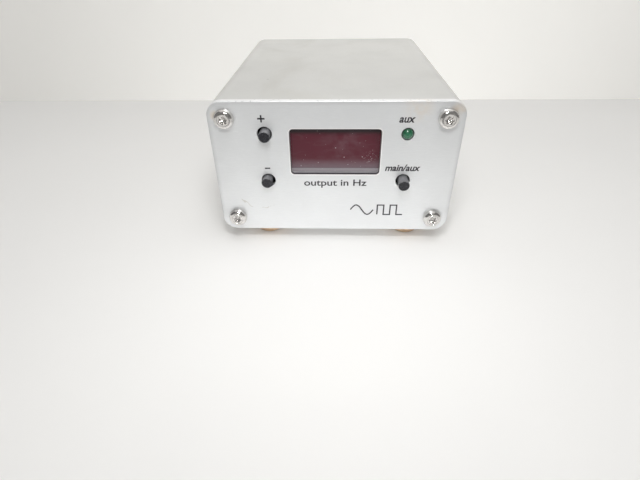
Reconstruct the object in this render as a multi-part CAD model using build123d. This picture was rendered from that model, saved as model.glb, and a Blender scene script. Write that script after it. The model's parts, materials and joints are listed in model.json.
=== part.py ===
from build123d import *
import os
from math import radians, tan

# Function generator in a small aluminium case: a display, three push buttons and a lamp on the front plate,
# two boards inside, and the power and signal connectors on the rear plate.
# Millimetres. X runs to the right seen from the front, Y to the back, Z up from the surface it stands on.
# The origin is at the centre of the footprint, connectors and buttons included.

os.makedirs("parts", exist_ok=True)

# ---- Driving dimensions ------------------------------------------------------------------------------------

CASE_W, CASE_H, CASE_CORNER = 100.0, 58.0, 6.0
TUBE_L, WALL, PLATE_T = 119.0, 2.0, 2.5
PLATE_EDGE = 0.3            # bevel round the outer rim of each plate
GAP = 0.3                   # air between parts that only stand near each other

FOOT_R, FOOT_TIP_R, FOOT_ROUND, FOOT_H = 6.7, 6.3, 0.8, 6.5
FOOT_FRONT_X = (-31.3, 33.8)
FOOT_REAR_X = (-32.0, 32.0)
FOOT_INSET_Y = 13.2         # from each end of the case to the centre of the feet

SCREW_INSET_X, SCREW_INSET_Z = 6.8, 6.6
SCREW_R, SCREW_HEAD_R, SCREW_HEAD_H, SCREW_L = 1.95, 4.0, 2.6, 10.0
SCREW_RIM_H, SCREW_FLAT_R, SCREW_CROWN_MID = 0.5, 2.4, (3.45, 1.85)
RECESS_R, RECESS_LOBES, RECESS_LOBE_R, RECESS_DEPTH = 1.4, 6, 0.42, 1.6
SCREW_HOLE_R, SCREW_PORT_R, SCREW_WEB = 2.2, 3.6, 3.0
THREAD_PLAY = 0.05

PITCH = 2.54                # grid of the circuit boards
LEFT_X, RIGHT_X = -28.0, 28.5
UPPER_ROW, ROW_STEP = 45.1, 8 * PITCH
LOWER_ROW = UPPER_ROW - ROW_STEP

BUTTON_HOLE_R, CAP_R, CAP_L, CAP_EDGE = 3.0, 2.3, 6.6, 0.25
BUTTON_STROKE = 2.0
INCREASE_OUT, DECREASE_OUT, SOURCE_OUT = 3.6, 2.9, 5.0
INCREASE_LEAN, DECREASE_LEAN, SOURCE_LEAN = 0.3, -0.35, 0.0     # how far each cap sits off its hole

WINDOW_X, WINDOW_Z, WINDOW_W, WINDOW_H, WINDOW_CORNER = 0.1, 37.35, 36.5, 19.3, 1.4
PANE_MARGIN, PANE_T, TAPE_T, TAPE_INSET = 2.6, 2.0, 0.25, 0.5

LAMP_R, LAMP_HOLE_R, LAMP_FLANGE_R, LAMP_FLANGE_T, LAMP_L, LAMP_OUT = 2.5, 2.55, 2.9, 1.0, 8.6, 1.4

DISPLAY_W, DISPLAY_H, DISPLAY_D = 37.6, 19.0, 8.0
DIGIT_COUNT, DIGIT_PITCH, DIGIT_H, DIGIT_W, SEGMENT_T, SEGMENT_DEPTH = 3, 12.6, 14.2, 7.4, 1.7, 0.5
DIGIT_SLANT = tan(radians(8.0))

BOARD_T = 1.6
SWITCH_W, SWITCH_H, SWITCH_WALL = 8.4, 7.0, 1.0
MAIN_BOARD_RISE = 13.5      # from the outside of the case floor to the underside of the main board
RIB_T, RIB_DEPTH, GROOVE_PLAY = 1.5, 3.2, 0.25

CONNECTOR_OUT = 14.0        # how far the signal connectors stand out of the rear plate
OUTPUT_X, TRIGGER_X, POWER_X = 30.0, 6.0, -30.0
CONNECTOR_BLOCK = 14.5
BARREL_R, THREAD_R, BARREL_BORE_R, BARREL_L = 4.8, 4.7, 4.1, 9.0
JACK_W, JACK_L, JACK_H, JACK_AXIS = 9.0, 14.0, 11.0, 6.5

ROCKER_RISE = 39.5          # from the outside of the case floor to the rocker's axis
ROCKER_R, ROCKER_W, ROCKER_TILT = 8.4, 9.6, 10.0

# ---- Places worked out from them ---------------------------------------------------------------------------

FRONT_Y = (SOURCE_OUT - CONNECTOR_OUT - TUBE_L) / 2 - PLATE_T     # outer face of the front plate
TUBE_FRONT = FRONT_Y + PLATE_T
TUBE_REAR = TUBE_FRONT + TUBE_L
REAR_Y = TUBE_REAR + PLATE_T                                      # outer face of the rear plate
BASE_Z = FOOT_H                                                   # underside of the case
MID_Z = BASE_Z + CASE_H / 2

SCREW_X = CASE_W / 2 - SCREW_INSET_X
SCREW_SPOTS = [(sx * SCREW_X, MID_Z + sz * (CASE_H / 2 - SCREW_INSET_Z)) for sx in (-1, 1) for sz in (-1, 1)]

PANE_Y = TUBE_FRONT + TAPE_T
DISPLAY_Y = PANE_Y + PANE_T + GAP
CONTROL_Y = DISPLAY_Y + DISPLAY_D + 0.2                           # front face of the control board
CONTROL_BACK = CONTROL_Y + BOARD_T
CONTROL_HALF_W, CONTROL_LOW, CONTROL_HIGH = 38.4, BASE_Z + 11.5, BASE_Z + 51.5

MAIN_LOW = BASE_Z + MAIN_BOARD_RISE
MAIN_TOP = MAIN_LOW + BOARD_T
MAIN_FRONT, MAIN_REAR = CONTROL_BACK + 0.8, TUBE_REAR - GAP
MAIN_HALF_W = CASE_W / 2 - WALL - GAP

CONNECTOR_Z = MAIN_TOP + CONNECTOR_BLOCK / 2
JACK_Z = MAIN_TOP + JACK_AXIS
ROCKER_Z = BASE_Z + ROCKER_RISE

BUTTONS = {
    "increase": (LEFT_X, UPPER_ROW, INCREASE_OUT, INCREASE_LEAN),
    "decrease": (LEFT_X, LOWER_ROW, DECREASE_OUT, DECREASE_LEAN),
    "source": (RIGHT_X, LOWER_ROW, SOURCE_OUT, SOURCE_LEAN),
}


# ---- Small makers of shapes --------------------------------------------------------------------------------

def block(x0, x1, y0, y1, z0, z1):
    return Pos((x0 + x1) / 2, (y0 + y1) / 2, (z0 + z1) / 2) * Box(x1 - x0, y1 - y0, z1 - z0)


def rod_x(y, z, radius, x0, x1):
    return Pos((x0 + x1) / 2, y, z) * Rot(0, 90, 0) * Cylinder(radius, x1 - x0)


def rod_y(x, z, radius, y0, y1):
    return Pos(x, (y0 + y1) / 2, z) * Rot(90, 0, 0) * Cylinder(radius, y1 - y0)


def rod_z(x, y, radius, z0, z1):
    return Pos(x, y, (z0 + z1) / 2) * Cylinder(radius, z1 - z0)


def prism_x(sketch, x0, x1):
    """A sketch drawn in (Y, Z), from x0 to x1."""
    return extrude(Plane(origin=(x0, 0, 0), x_dir=(0, 1, 0), z_dir=(1, 0, 0)) * sketch, x1 - x0)


def prism_y(sketch, y0, y1):
    """A sketch drawn in (X, Z), from y0 to y1."""
    return extrude(Plane(origin=(0, y1, 0), x_dir=(1, 0, 0), z_dir=(0, -1, 0)) * sketch, y1 - y0)


def turned_y(points, x, z, y):
    """Turned about the Y line through (x, z): each point is (radius, distance along +Y from y)."""
    profile = make_face(Polyline(*[(radius, along) for radius, along in points], close=True))
    return Pos(x, y, z) * revolve(profile, Axis.Y, 360)


def save(name, *solids):
    shape = solids[0] if len(solids) == 1 else Compound(children=[part.solid() for part in solids])
    shape.label = name
    export_step(shape, f"parts/{name}.step")


# ---- Case --------------------------------------------------------------------------------------------------

def case_outline(inset=0.0):
    return Pos(0, MID_Z) * RectangleRounded(CASE_W - 2 * inset, CASE_H - 2 * inset, CASE_CORNER - inset)


def screw_ports():
    """The four lengthwise ports that take the screws, each on two webs."""
    ports = Sketch()
    for x, z in SCREW_SPOTS:
        side, rise = (1 if x > 0 else -1), (1 if z > MID_Z else -1)
        reach_x, reach_z = SCREW_INSET_X - WALL / 2, SCREW_INSET_Z - WALL / 2
        ports += Pos(x, z) * Circle(SCREW_PORT_R)
        ports += Pos(x + side * reach_x / 2, z) * Rectangle(reach_x, SCREW_WEB)
        ports += Pos(x, z + rise * reach_z / 2) * Rectangle(SCREW_WEB, reach_z)
    return ports


def board_grooves():
    """Two ribs on each side wall, with the main board's edge between them."""
    ribs = Sketch()
    rib_x = CASE_W / 2 - WALL / 2 - RIB_DEPTH / 2
    for side in (-1, 1):
        for rib_z in (MAIN_LOW - (GROOVE_PLAY + RIB_T) / 2, MAIN_TOP + (GROOVE_PLAY + RIB_T) / 2):
            ribs += Pos(side * rib_x, rib_z) * Rectangle(RIB_DEPTH, RIB_T)
    return ribs


def case_tube():
    section = case_outline() - case_outline(WALL) + screw_ports() + board_grooves()
    for x, z in SCREW_SPOTS:
        section -= Pos(x, z) * Circle(SCREW_R + THREAD_PLAY)
    return prism_y(section, TUBE_FRONT, TUBE_REAR)


def blank_plate(y0, outer_face):
    """A plate with its four screw holes and a fine bevel round its outer face."""
    plate = prism_y(case_outline(), y0, y0 + PLATE_T)
    rim = plate.faces().sort_by(Axis.Y)[0 if outer_face == "front" else -1].edges()
    plate = chamfer(rim, PLATE_EDGE)
    for x, z in SCREW_SPOTS:
        plate -= rod_y(x, z, SCREW_HOLE_R, y0 - GAP, y0 + PLATE_T + GAP)
    return plate


def window_outline(margin=0.0):
    size = (WINDOW_W + 2 * margin, WINDOW_H + 2 * margin)
    return Pos(WINDOW_X, BASE_Z + WINDOW_Z) * RectangleRounded(*size, WINDOW_CORNER)


def front_panel():
    plate = blank_plate(FRONT_Y, "front")
    through = (FRONT_Y - GAP, TUBE_FRONT + GAP)
    plate -= prism_y(window_outline(), *through)
    for x, rise, out, lean in BUTTONS.values():
        plate -= rod_y(x, BASE_Z + rise, BUTTON_HOLE_R, *through)
    return plate - rod_y(RIGHT_X, BASE_Z + UPPER_ROW, LAMP_HOLE_R, *through)


def rear_panel():
    plate = blank_plate(TUBE_REAR, "rear")
    through = (TUBE_REAR - GAP, REAR_Y + GAP)
    for x in (OUTPUT_X, TRIGGER_X):
        plate -= rod_y(x, CONNECTOR_Z, THREAD_R + 0.1, *through)
    plate -= rod_y(POWER_X, JACK_Z, JACK_NOSE_R + 0.15, *through)
    opening = Pos(POWER_X, ROCKER_Z) * Rectangle(SWITCH_CAN_W + 0.3, SWITCH_CAN_H + 0.3)
    return plate - prism_y(opening, *through)


def plate_screw(x, z, face_y, outward):
    """A pan head screw with a six-lobed recess; outward is -1 on the front plate and 1 on the rear one."""
    head = Polyline((0, 0), (SCREW_HEAD_R, 0), (SCREW_HEAD_R, SCREW_RIM_H))
    crown = ThreePointArc((SCREW_HEAD_R, SCREW_RIM_H), SCREW_CROWN_MID, (SCREW_FLAT_R, SCREW_HEAD_H))
    top = Polyline((SCREW_FLAT_R, SCREW_HEAD_H), (0, SCREW_HEAD_H), (0, 0))
    screw = revolve(make_face([head, crown, top]), Axis.Y, 360)
    screw += rod_y(0, 0, SCREW_R, -SCREW_L, 0)
    recess = Circle(RECESS_R)
    for lobe in range(RECESS_LOBES):
        recess += Rot(0, 0, 360 / RECESS_LOBES * lobe) * Pos(RECESS_R, 0) * Circle(RECESS_LOBE_R)
    screw -= prism_y(recess, SCREW_HEAD_H - RECESS_DEPTH, SCREW_HEAD_H + 1)
    turn = Rot(0, 0, 0) if outward > 0 else Rot(0, 0, 180)
    return Pos(x, face_y, z) * turn * screw


def bumper_foot(x, y):
    sole_r = FOOT_TIP_R - FOOT_ROUND
    sole = Polyline((0, 0), (sole_r, 0))
    edge = RadiusArc((sole_r, 0), (FOOT_TIP_R, FOOT_ROUND), -FOOT_ROUND)
    side = Polyline((FOOT_TIP_R, FOOT_ROUND), (FOOT_R, FOOT_H), (0, FOOT_H), (0, 0))
    profile = make_face([sole, edge, side])
    return Pos(x, y, 0) * revolve(Plane.XZ * profile, Axis.Z, 360)


# ---- Display and lamp --------------------------------------------------------------------------------------

def display_window():
    return prism_y(window_outline(PANE_MARGIN), PANE_Y, PANE_Y + PANE_T)


def display_window_tape():
    return prism_y(window_outline(PANE_MARGIN) - window_outline(TAPE_INSET), TUBE_FRONT, PANE_Y)


def segment(x, z, length, upright):
    """One bar of a digit, pointed at both ends and leaning with the digit; x, z from the digit's centre."""
    half, thick = length / 2, SEGMENT_T / 2
    outline = [(-half, 0), (-half + thick, thick), (half - thick, thick), (half, 0),
               (half - thick, -thick), (-half + thick, -thick)]
    if upright:
        outline = [(across, along) for along, across in outline]
    return Polygon(*[(x + u + (z + v) * DIGIT_SLANT, z + v) for u, v in outline], align=None)


def digit(centre_x):
    half_w, half_h = (DIGIT_W - SEGMENT_T) / 2, (DIGIT_H - SEGMENT_T) / 2
    level, upright = DIGIT_W - SEGMENT_T - 0.3, half_h - 0.3
    bars = [segment(0, z, level, False) for z in (-half_h, 0, half_h)]
    bars += [segment(sx * half_w, sz * half_h / 2, upright, True) for sx in (-1, 1) for sz in (-1, 1)]
    bars.append(Pos(half_w + 1.9 - half_h * DIGIT_SLANT, -half_h) * Circle(SEGMENT_T / 2))
    return [Pos(WINDOW_X + centre_x, BASE_Z + WINDOW_Z) * bar for bar in bars]


def display_segments():
    bars = []
    for index in range(DIGIT_COUNT):
        bars += digit((index - (DIGIT_COUNT - 1) / 2) * DIGIT_PITCH - 0.6)
    return [prism_y(bar, DISPLAY_Y, DISPLAY_Y + SEGMENT_DEPTH) for bar in bars]


def display_module(segments):
    x, z = WINDOW_X, BASE_Z + WINDOW_Z
    body = block(x - DISPLAY_W / 2, x + DISPLAY_W / 2, DISPLAY_Y, DISPLAY_Y + DISPLAY_D,
                 z - DISPLAY_H / 2, z + DISPLAY_H / 2)
    for bar in segments:
        body -= bar
    return body


def display_pin_spots():
    x, z = WINDOW_X, BASE_Z + WINDOW_Z
    return [(x + (column - 2.5) * PITCH, z + row * 3 * PITCH) for row in (-1, 1) for column in range(6)]


def lamp():
    """A 5 mm lamp: flange, straight body and round nose."""
    tip = FRONT_Y - LAMP_OUT
    x, z = RIGHT_X, BASE_Z + UPPER_ROW
    body = rod_y(x, z, LAMP_R, tip + LAMP_R, tip + LAMP_L)
    body += Pos(x, tip + LAMP_R, z) * Sphere(LAMP_R)
    return body + rod_y(x, z, LAMP_FLANGE_R, tip + LAMP_L - LAMP_FLANGE_T, tip + LAMP_L)


LAMP_BACK = FRONT_Y - LAMP_OUT + LAMP_L
LEAD_HALF, LEAD_HOLE_R = 0.25, 0.45
PIN_TAIL = 1.4              # how far pins stand out behind the control board


def lamp_lead_spots():
    return [(RIGHT_X + sx * PITCH / 2, BASE_Z + UPPER_ROW) for sx in (-1, 1)]


def lamp_spacer():
    spacer = rod_y(RIGHT_X, BASE_Z + UPPER_ROW, LAMP_FLANGE_R, LAMP_BACK, CONTROL_Y)
    for x, z in lamp_lead_spots():
        spacer -= rod_y(x, z, LEAD_HOLE_R, LAMP_BACK - 1, CONTROL_Y + 1)
    return spacer


def square_pins(spots, half, y0, y1):
    return [block(x - half, x + half, y0, y1, z - half, z + half) for x, z in spots]


# ---- Push buttons ------------------------------------------------------------------------------------------

SWITCH_FRONT = CONTROL_Y - SWITCH_H
SWITCH_PIN_HALF = 0.3
CHAMBER_FRONT, CHAMBER_BACK = SWITCH_FRONT + SWITCH_WALL, CONTROL_Y - SWITCH_WALL
COLLAR_T, COLLAR_HALF, GUIDE_R, STEM_HALF, STEM_GRIP = 0.8, 2.7, 1.5, 1.1, 4.0
COLLAR_FRONT = CHAMBER_FRONT + 0.1
COLLAR_BACK = COLLAR_FRONT + COLLAR_T
SPRING_R, SPRING_WIRE_R, SPRING_TURNS, SPRING_PLAY = 1.35, 0.16, 5, 0.04
SPRING_PIN_R, SPRING_PIN_L = 0.7, 1.6
STEM_PLAY, GUIDE_PLAY, GUIDE_L = 0.03, 0.08, 0.6


def button_cap(x, rise, out, lean):
    front, z = FRONT_Y - out, BASE_Z + rise
    cap = rod_y(x + lean, z, CAP_R, front, front + CAP_L)
    cap = chamfer(cap.faces().sort_by(Axis.Y)[0].edges(), CAP_EDGE)
    grip = STEM_HALF + STEM_PLAY
    bore = block(x - grip, x + grip, front + CAP_L - STEM_GRIP - 0.2, front + CAP_L + 1, z - grip, z + grip)
    return cap - bore


def plunger(x, rise, out):
    """Square stem for the cap, round guide, square collar that stops it, and the pin inside the spring."""
    z = BASE_Z + rise
    tip = FRONT_Y - out + CAP_L - STEM_GRIP
    guide = SWITCH_FRONT - GUIDE_L
    body = block(x - STEM_HALF, x + STEM_HALF, tip, guide, z - STEM_HALF, z + STEM_HALF)
    body += rod_y(x, z, GUIDE_R, guide, COLLAR_FRONT)
    body += block(x - COLLAR_HALF, x + COLLAR_HALF, COLLAR_FRONT, COLLAR_BACK,
                  z - COLLAR_HALF, z + COLLAR_HALF)
    return body + rod_y(x, z, SPRING_PIN_R, COLLAR_BACK, COLLAR_BACK + SPRING_PIN_L)


def switch_body(x, rise):
    z, half, room = BASE_Z + rise, SWITCH_W / 2, COLLAR_HALF + GAP
    body = block(x - half, x + half, SWITCH_FRONT, CONTROL_Y, z - half, z + half)
    body -= block(x - room, x + room, CHAMBER_FRONT, CHAMBER_BACK, z - room, z + room)
    return body - rod_y(x, z, GUIDE_R + GUIDE_PLAY, SWITCH_FRONT - 1, CHAMBER_FRONT + 0.1)


def return_spring(x, rise):
    end_room = SPRING_WIRE_R + SPRING_PLAY
    start, height = COLLAR_BACK + end_room, CHAMBER_BACK - COLLAR_BACK - 2 * end_room
    line = Helix(height / SPRING_TURNS, height, SPRING_R, center=(x, start, BASE_Z + rise),
                 direction=(0, 1, 0))
    wire = Plane(origin=line @ 0, z_dir=line % 0) * Circle(SPRING_WIRE_R)
    return sweep(wire, path=line)


def switch_pin_spots():
    return [(x + sx * 1.5 * PITCH, BASE_Z + rise + row * PITCH)
            for x, rise, out, lean in BUTTONS.values() for sx in (-1, 1) for row in (-1, 0, 1)]


# ---- Boards and what joins them --------------------------------------------------------------------------

LINK_COUNT, LINK_Z, LINK_LEG_Y, LINK_HALF, LINK_PLAY = 10, MAIN_TOP + 4.0, CONTROL_BACK + 6.0, 0.32, 0.02
LINK_BODY, LINK_FRONT_TAIL = 2.5, 1.2
PIN_HOLE_R, LINK_HOLE_R = 0.5, 0.55
BRACKET_X, BRACKET_HALF_W, BRACKET_T, BRACKET_LEG = 18.6, 3.5, 1.2, 9.0
BRACKET_Y, BRACKET_Z = CONTROL_BACK + 5.2, MAIN_TOP + 5.2      # centres of its two holes
SMALL_SCREW_R, SMALL_HEAD_R, SMALL_HEAD_H, SMALL_SCREW_OUT = 1.2, 2.3, 1.6, 1.5
HOLE_PLAY = 0.1
SMALL_HOLE_R = SMALL_SCREW_R + HOLE_PLAY


def link_xs():
    return [(index - (LINK_COUNT - 1) / 2) * PITCH for index in range(LINK_COUNT)]


def control_board():
    board = block(-CONTROL_HALF_W, CONTROL_HALF_W, CONTROL_Y, CONTROL_BACK, CONTROL_LOW, CONTROL_HIGH)
    drilled = [(x, z, PIN_HOLE_R) for x, z in display_pin_spots() + switch_pin_spots() + lamp_lead_spots()]
    drilled += [(x, LINK_Z, LINK_HOLE_R) for x in link_xs()]
    drilled += [(side * BRACKET_X, BRACKET_Z, SMALL_HOLE_R) for side in (-1, 1)]
    for x, z, radius in drilled:
        board -= rod_y(x, z, radius, CONTROL_Y - 1, CONTROL_BACK + 1)
    return board


def main_board():
    board = block(-MAIN_HALF_W, MAIN_HALF_W, MAIN_FRONT, MAIN_REAR, MAIN_LOW, MAIN_TOP)
    drilled = [(x, LINK_LEG_Y, LINK_HOLE_R) for x in link_xs()]
    drilled += [(side * BRACKET_X, BRACKET_Y, SMALL_HOLE_R) for side in (-1, 1)]
    for x, y, radius in drilled:
        board -= rod_z(x, y, radius, MAIN_LOW - 1, MAIN_TOP + 1)
    return board


def board_link_body():
    half, play = LINK_COUNT * PITCH / 2, LINK_HALF + LINK_PLAY
    body = block(-half, half, CONTROL_BACK, CONTROL_BACK + LINK_BODY,
                 LINK_Z - LINK_BODY / 2, LINK_Z + LINK_BODY / 2)
    for x in link_xs():
        body -= block(x - play, x + play, CONTROL_BACK - 1, CONTROL_BACK + LINK_BODY + 1,
                      LINK_Z - play, LINK_Z + play)
    return body


def board_link_pins():
    """Square pins, each through the control board and bent down through the main board."""
    pins = []
    for x in link_xs():
        level = block(x - LINK_HALF, x + LINK_HALF, CONTROL_Y - LINK_FRONT_TAIL, LINK_LEG_Y + LINK_HALF,
                      LINK_Z - LINK_HALF, LINK_Z + LINK_HALF)
        leg = block(x - LINK_HALF, x + LINK_HALF, LINK_LEG_Y - LINK_HALF, LINK_LEG_Y + LINK_HALF,
                    MAIN_LOW - PIN_TAIL, LINK_Z)
        pins.append(level + leg)
    return pins


def board_bracket(side):
    x = side * BRACKET_X
    bracket = block(x - BRACKET_HALF_W, x + BRACKET_HALF_W, CONTROL_BACK, CONTROL_BACK + BRACKET_LEG,
                    MAIN_TOP, MAIN_TOP + BRACKET_T)
    bracket += block(x - BRACKET_HALF_W, x + BRACKET_HALF_W, CONTROL_BACK, CONTROL_BACK + BRACKET_T,
                     MAIN_TOP, MAIN_TOP + BRACKET_LEG)
    bracket -= rod_z(x, BRACKET_Y, SMALL_HOLE_R, MAIN_TOP - 1, MAIN_TOP + BRACKET_T + 1)
    return bracket - rod_y(x, BRACKET_Z, SMALL_HOLE_R, CONTROL_BACK - 1, CONTROL_BACK + BRACKET_T + 1)


def bracket_screws():
    """Two short screws in each bracket, one down into the main board and one into the control board."""
    screws = []
    for side in (-1, 1):
        x, head = side * BRACKET_X, MAIN_TOP + BRACKET_T
        down = rod_z(x, BRACKET_Y, SMALL_SCREW_R, MAIN_LOW - SMALL_SCREW_OUT, head)
        screws.append(down + rod_z(x, BRACKET_Y, SMALL_HEAD_R, head, head + SMALL_HEAD_H))
        head = CONTROL_BACK + BRACKET_T
        level = rod_y(x, BRACKET_Z, SMALL_SCREW_R, CONTROL_Y - SMALL_SCREW_OUT, head)
        screws.append(level + rod_y(x, BRACKET_Z, SMALL_HEAD_R, head, head + SMALL_HEAD_H))
    return screws


# ---- What stands on the boards ---------------------------------------------------------------------------

STAND_OFF = 0.2             # air under the parts that stand on the main board
CHIP_LIFT, CHIP_H, NOTCH_R, NOTCH_DEPTH = 1.0, 3.4, 0.9, 0.4
LEG_T, LEG_HALF = 0.7, 0.3
CONTROLLER_SPOT, OUTPUT_DRIVER_SPOT, CRYSTAL_SPOT, TRIMMER_SPOT = (12, -22), (30, 18), (-16, -22), (16, 20)
CRYSTAL_L, CRYSTAL_W, CRYSTAL_H, CRYSTAL_RIM, CRYSTAL_RIM_H = 11.0, 4.6, 3.4, 0.5, 0.4
CAN_SIZES = ((-34, 2, 5, 16), (-34, 15, 5, 16), (-25, 13, 4, 11.5))     # x, y, radius, height
RING_LOW, RING_H, RING_DEPTH, SCORE_W = 1.4, 0.6, 0.4, 0.4
FILM_XS, FILM_Y, FILM_HALF_W, FILM_HALF_T, FILM_H, FILM_EDGE = (-14, -4, 6), 4, 3.6, 1.3, 6.6, 0.4
RESISTOR_XS, RESISTOR_YS = (20, 34), (-8, -4, 0, 4)
RESISTOR_HALF_L, RESISTOR_R, RESISTOR_END_R, RESISTOR_END_L, RESISTOR_END_X = 3.0, 1.0, 1.25, 1.2, 2.4
RESISTOR_LEG_R, RESISTOR_REACH, RESISTOR_LIFT = 0.3, 4.6, 1.6
TRIMMER_HALF_W, TRIMMER_HALF_T, TRIMMER_H, TRIMMER_SCREW_X, TRIMMER_SCREW_R = 4.75, 2.4, 10.0, 3.2, 1.2
TRIMMER_SCREW_H, TRIMMER_SLOT, TRIMMER_SLOT_DEPTH = 1.2, 0.5, 0.5


def dual_row_chip(leg_count, row_gap, place):
    """A package with two rows of legs along its X, standing on its Z = 0: the notched body, then the legs."""
    half, inner, top = leg_count / 4 * PITCH, row_gap / 2 - LEG_T, CHIP_LIFT + CHIP_H
    body = block(-half, half, -inner, inner, CHIP_LIFT, top)
    body -= rod_z(-half, 0, NOTCH_R, top - NOTCH_DEPTH, top + 1)
    legs = []
    for side in (-1, 1):
        for index in range(leg_count // 2):
            x = (index - (leg_count / 2 - 1) / 2) * PITCH
            y0, y1 = sorted((side * inner, side * row_gap / 2))
            legs.append(block(x - LEG_HALF, x + LEG_HALF, y0, y1, 0, CHIP_LIFT + CHIP_H / 2))
    return [place * piece for piece in [body] + legs]


def clock_crystal(x, y):
    low = MAIN_TOP + STAND_OFF
    can = extrude(Pos(x, y, low) * SlotOverall(CRYSTAL_L, CRYSTAL_W), CRYSTAL_H + CRYSTAL_RIM_H)
    rim = SlotOverall(CRYSTAL_L + 2 * CRYSTAL_RIM, CRYSTAL_W + 2 * CRYSTAL_RIM)
    return can + extrude(Pos(x, y, low) * rim, CRYSTAL_RIM_H)


def capacitor_can(x, y, radius, height):
    """An upright electrolytic capacitor with a pressed ring near its foot and a scored top."""
    low = MAIN_TOP + STAND_OFF
    ring = rod_z(x, y, radius + 1, low + RING_LOW, low + RING_LOW + RING_H)
    ring -= rod_z(x, y, radius - RING_DEPTH, low, low + RING_LOW + RING_H + 1)
    can = rod_z(x, y, radius, low, low + height) - ring
    for angle in (0, 90):
        can -= Pos(x, y, low + height) * Rot(0, 0, angle) * Box(radius * 1.2, SCORE_W, SCORE_W)
    return can


def film_capacitor(x, y):
    low = MAIN_TOP + STAND_OFF
    body = block(x - FILM_HALF_W, x + FILM_HALF_W, y - FILM_HALF_T, y + FILM_HALF_T, low, low + FILM_H)
    return fillet(body.faces().sort_by(Axis.Z)[-1].edges(), FILM_EDGE)


def resistor(x, y):
    """A barrel-shaped body on two bent legs, lying along X."""
    z = MAIN_TOP + RESISTOR_LIFT
    body = rod_x(y, z, RESISTOR_R, x - RESISTOR_HALF_L, x + RESISTOR_HALF_L)
    body += rod_x(y, z, RESISTOR_LEG_R, x - RESISTOR_REACH, x + RESISTOR_REACH)
    for side in (-1, 1):
        end, bend = x + side * RESISTOR_END_X, x + side * RESISTOR_REACH
        body += rod_x(y, z, RESISTOR_END_R, end - RESISTOR_END_L / 2, end + RESISTOR_END_L / 2)
        body += rod_z(bend, y, RESISTOR_LEG_R, MAIN_TOP, z)
        body += Pos(bend, y, z) * Sphere(RESISTOR_LEG_R)
    return body


REGULATOR_X, REGULATOR_Y = -8.0, 22.0
TAB_W, TAB_T, TAB_LOW, TAB_HIGH, TAB_HOLE_Z = 10.2, 1.3, MAIN_TOP + 4.0, MAIN_TOP + 19.5, MAIN_TOP + 16.6
TAB_HOLE_R, CASE_FRONT, CASE_NARROW, CASE_RISE = 1.8, 4.5, 0.1, 9.0
REGULATOR_LEG_HALF, REGULATOR_LEG_NEAR, REGULATOR_LEG_FAR = 0.4, 2.4, 2.9
SINK_W, SINK_H, SINK_PLATE, SINK_FIN, SINK_FINS = 24.0, 24.0, 2.0, 9.0, 6
FIN_HALF_T, SINK_LIFT, SINK_HOLE_R = 0.6, 1.0, 1.6
SINK_SCREW_R, SINK_SCREW_OUT, SINK_HEAD_R, SINK_HEAD_H = 1.5, 3.5, 2.75, 2.0


def voltage_regulator():
    """A three-legged regulator: metal tab with a hole, moulded case on its front, and flat legs."""
    x, y = REGULATOR_X, REGULATOR_Y
    half_case = TAB_W / 2 - CASE_NARROW
    body = block(x - TAB_W / 2, x + TAB_W / 2, y - TAB_T, y, TAB_LOW, TAB_HIGH)
    body -= rod_y(x, TAB_HOLE_Z, TAB_HOLE_R, y - 3, y + 1)
    body += block(x - half_case, x + half_case, y - CASE_FRONT, y - TAB_T, TAB_LOW, TAB_LOW + CASE_RISE)
    for index in (-1, 0, 1):
        leg_x = x + index * PITCH
        body += block(leg_x - REGULATOR_LEG_HALF, leg_x + REGULATOR_LEG_HALF,
                      y - REGULATOR_LEG_FAR, y - REGULATOR_LEG_NEAR, MAIN_TOP, TAB_LOW)
    return body


def heat_sink():
    x, y, low = REGULATOR_X, REGULATOR_Y, MAIN_TOP + SINK_LIFT
    sink = block(x - SINK_W / 2, x + SINK_W / 2, y, y + SINK_PLATE, low, low + SINK_H)
    for index in range(SINK_FINS):
        fin_x = x - SINK_W / 2 + FIN_HALF_T + index * (SINK_W - 2 * FIN_HALF_T) / (SINK_FINS - 1)
        sink += block(fin_x - FIN_HALF_T, fin_x + FIN_HALF_T, y + SINK_PLATE, y + SINK_PLATE + SINK_FIN,
                      low, low + SINK_H)
    return sink - rod_y(x, TAB_HOLE_Z, SINK_HOLE_R, y - 1, y + SINK_PLATE + 1)


def regulator_screw():
    x, y = REGULATOR_X, REGULATOR_Y
    screw = rod_y(x, TAB_HOLE_Z, SINK_SCREW_R, y - TAB_T, y + SINK_PLATE + SINK_SCREW_OUT)
    return screw + rod_y(x, TAB_HOLE_Z, SINK_HEAD_R, y - TAB_T - SINK_HEAD_H, y - TAB_T)


def level_trimmer(x, y):
    low = MAIN_TOP + STAND_OFF
    top, screw_x = low + TRIMMER_H, x + TRIMMER_SCREW_X
    body = block(x - TRIMMER_HALF_W, x + TRIMMER_HALF_W, y - TRIMMER_HALF_T, y + TRIMMER_HALF_T, low, top)
    screw = rod_z(screw_x, y, TRIMMER_SCREW_R, top, top + TRIMMER_SCREW_H)
    slot = block(screw_x - 2 * TRIMMER_SCREW_R, screw_x + 2 * TRIMMER_SCREW_R,
                 y - TRIMMER_SLOT / 2, y + TRIMMER_SLOT / 2,
                 top + TRIMMER_SCREW_H - TRIMMER_SLOT_DEPTH, top + TRIMMER_SCREW_H + 1)
    return body + (screw - slot)


# ---- Rear connectors ---------------------------------------------------------------------------------------

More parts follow.
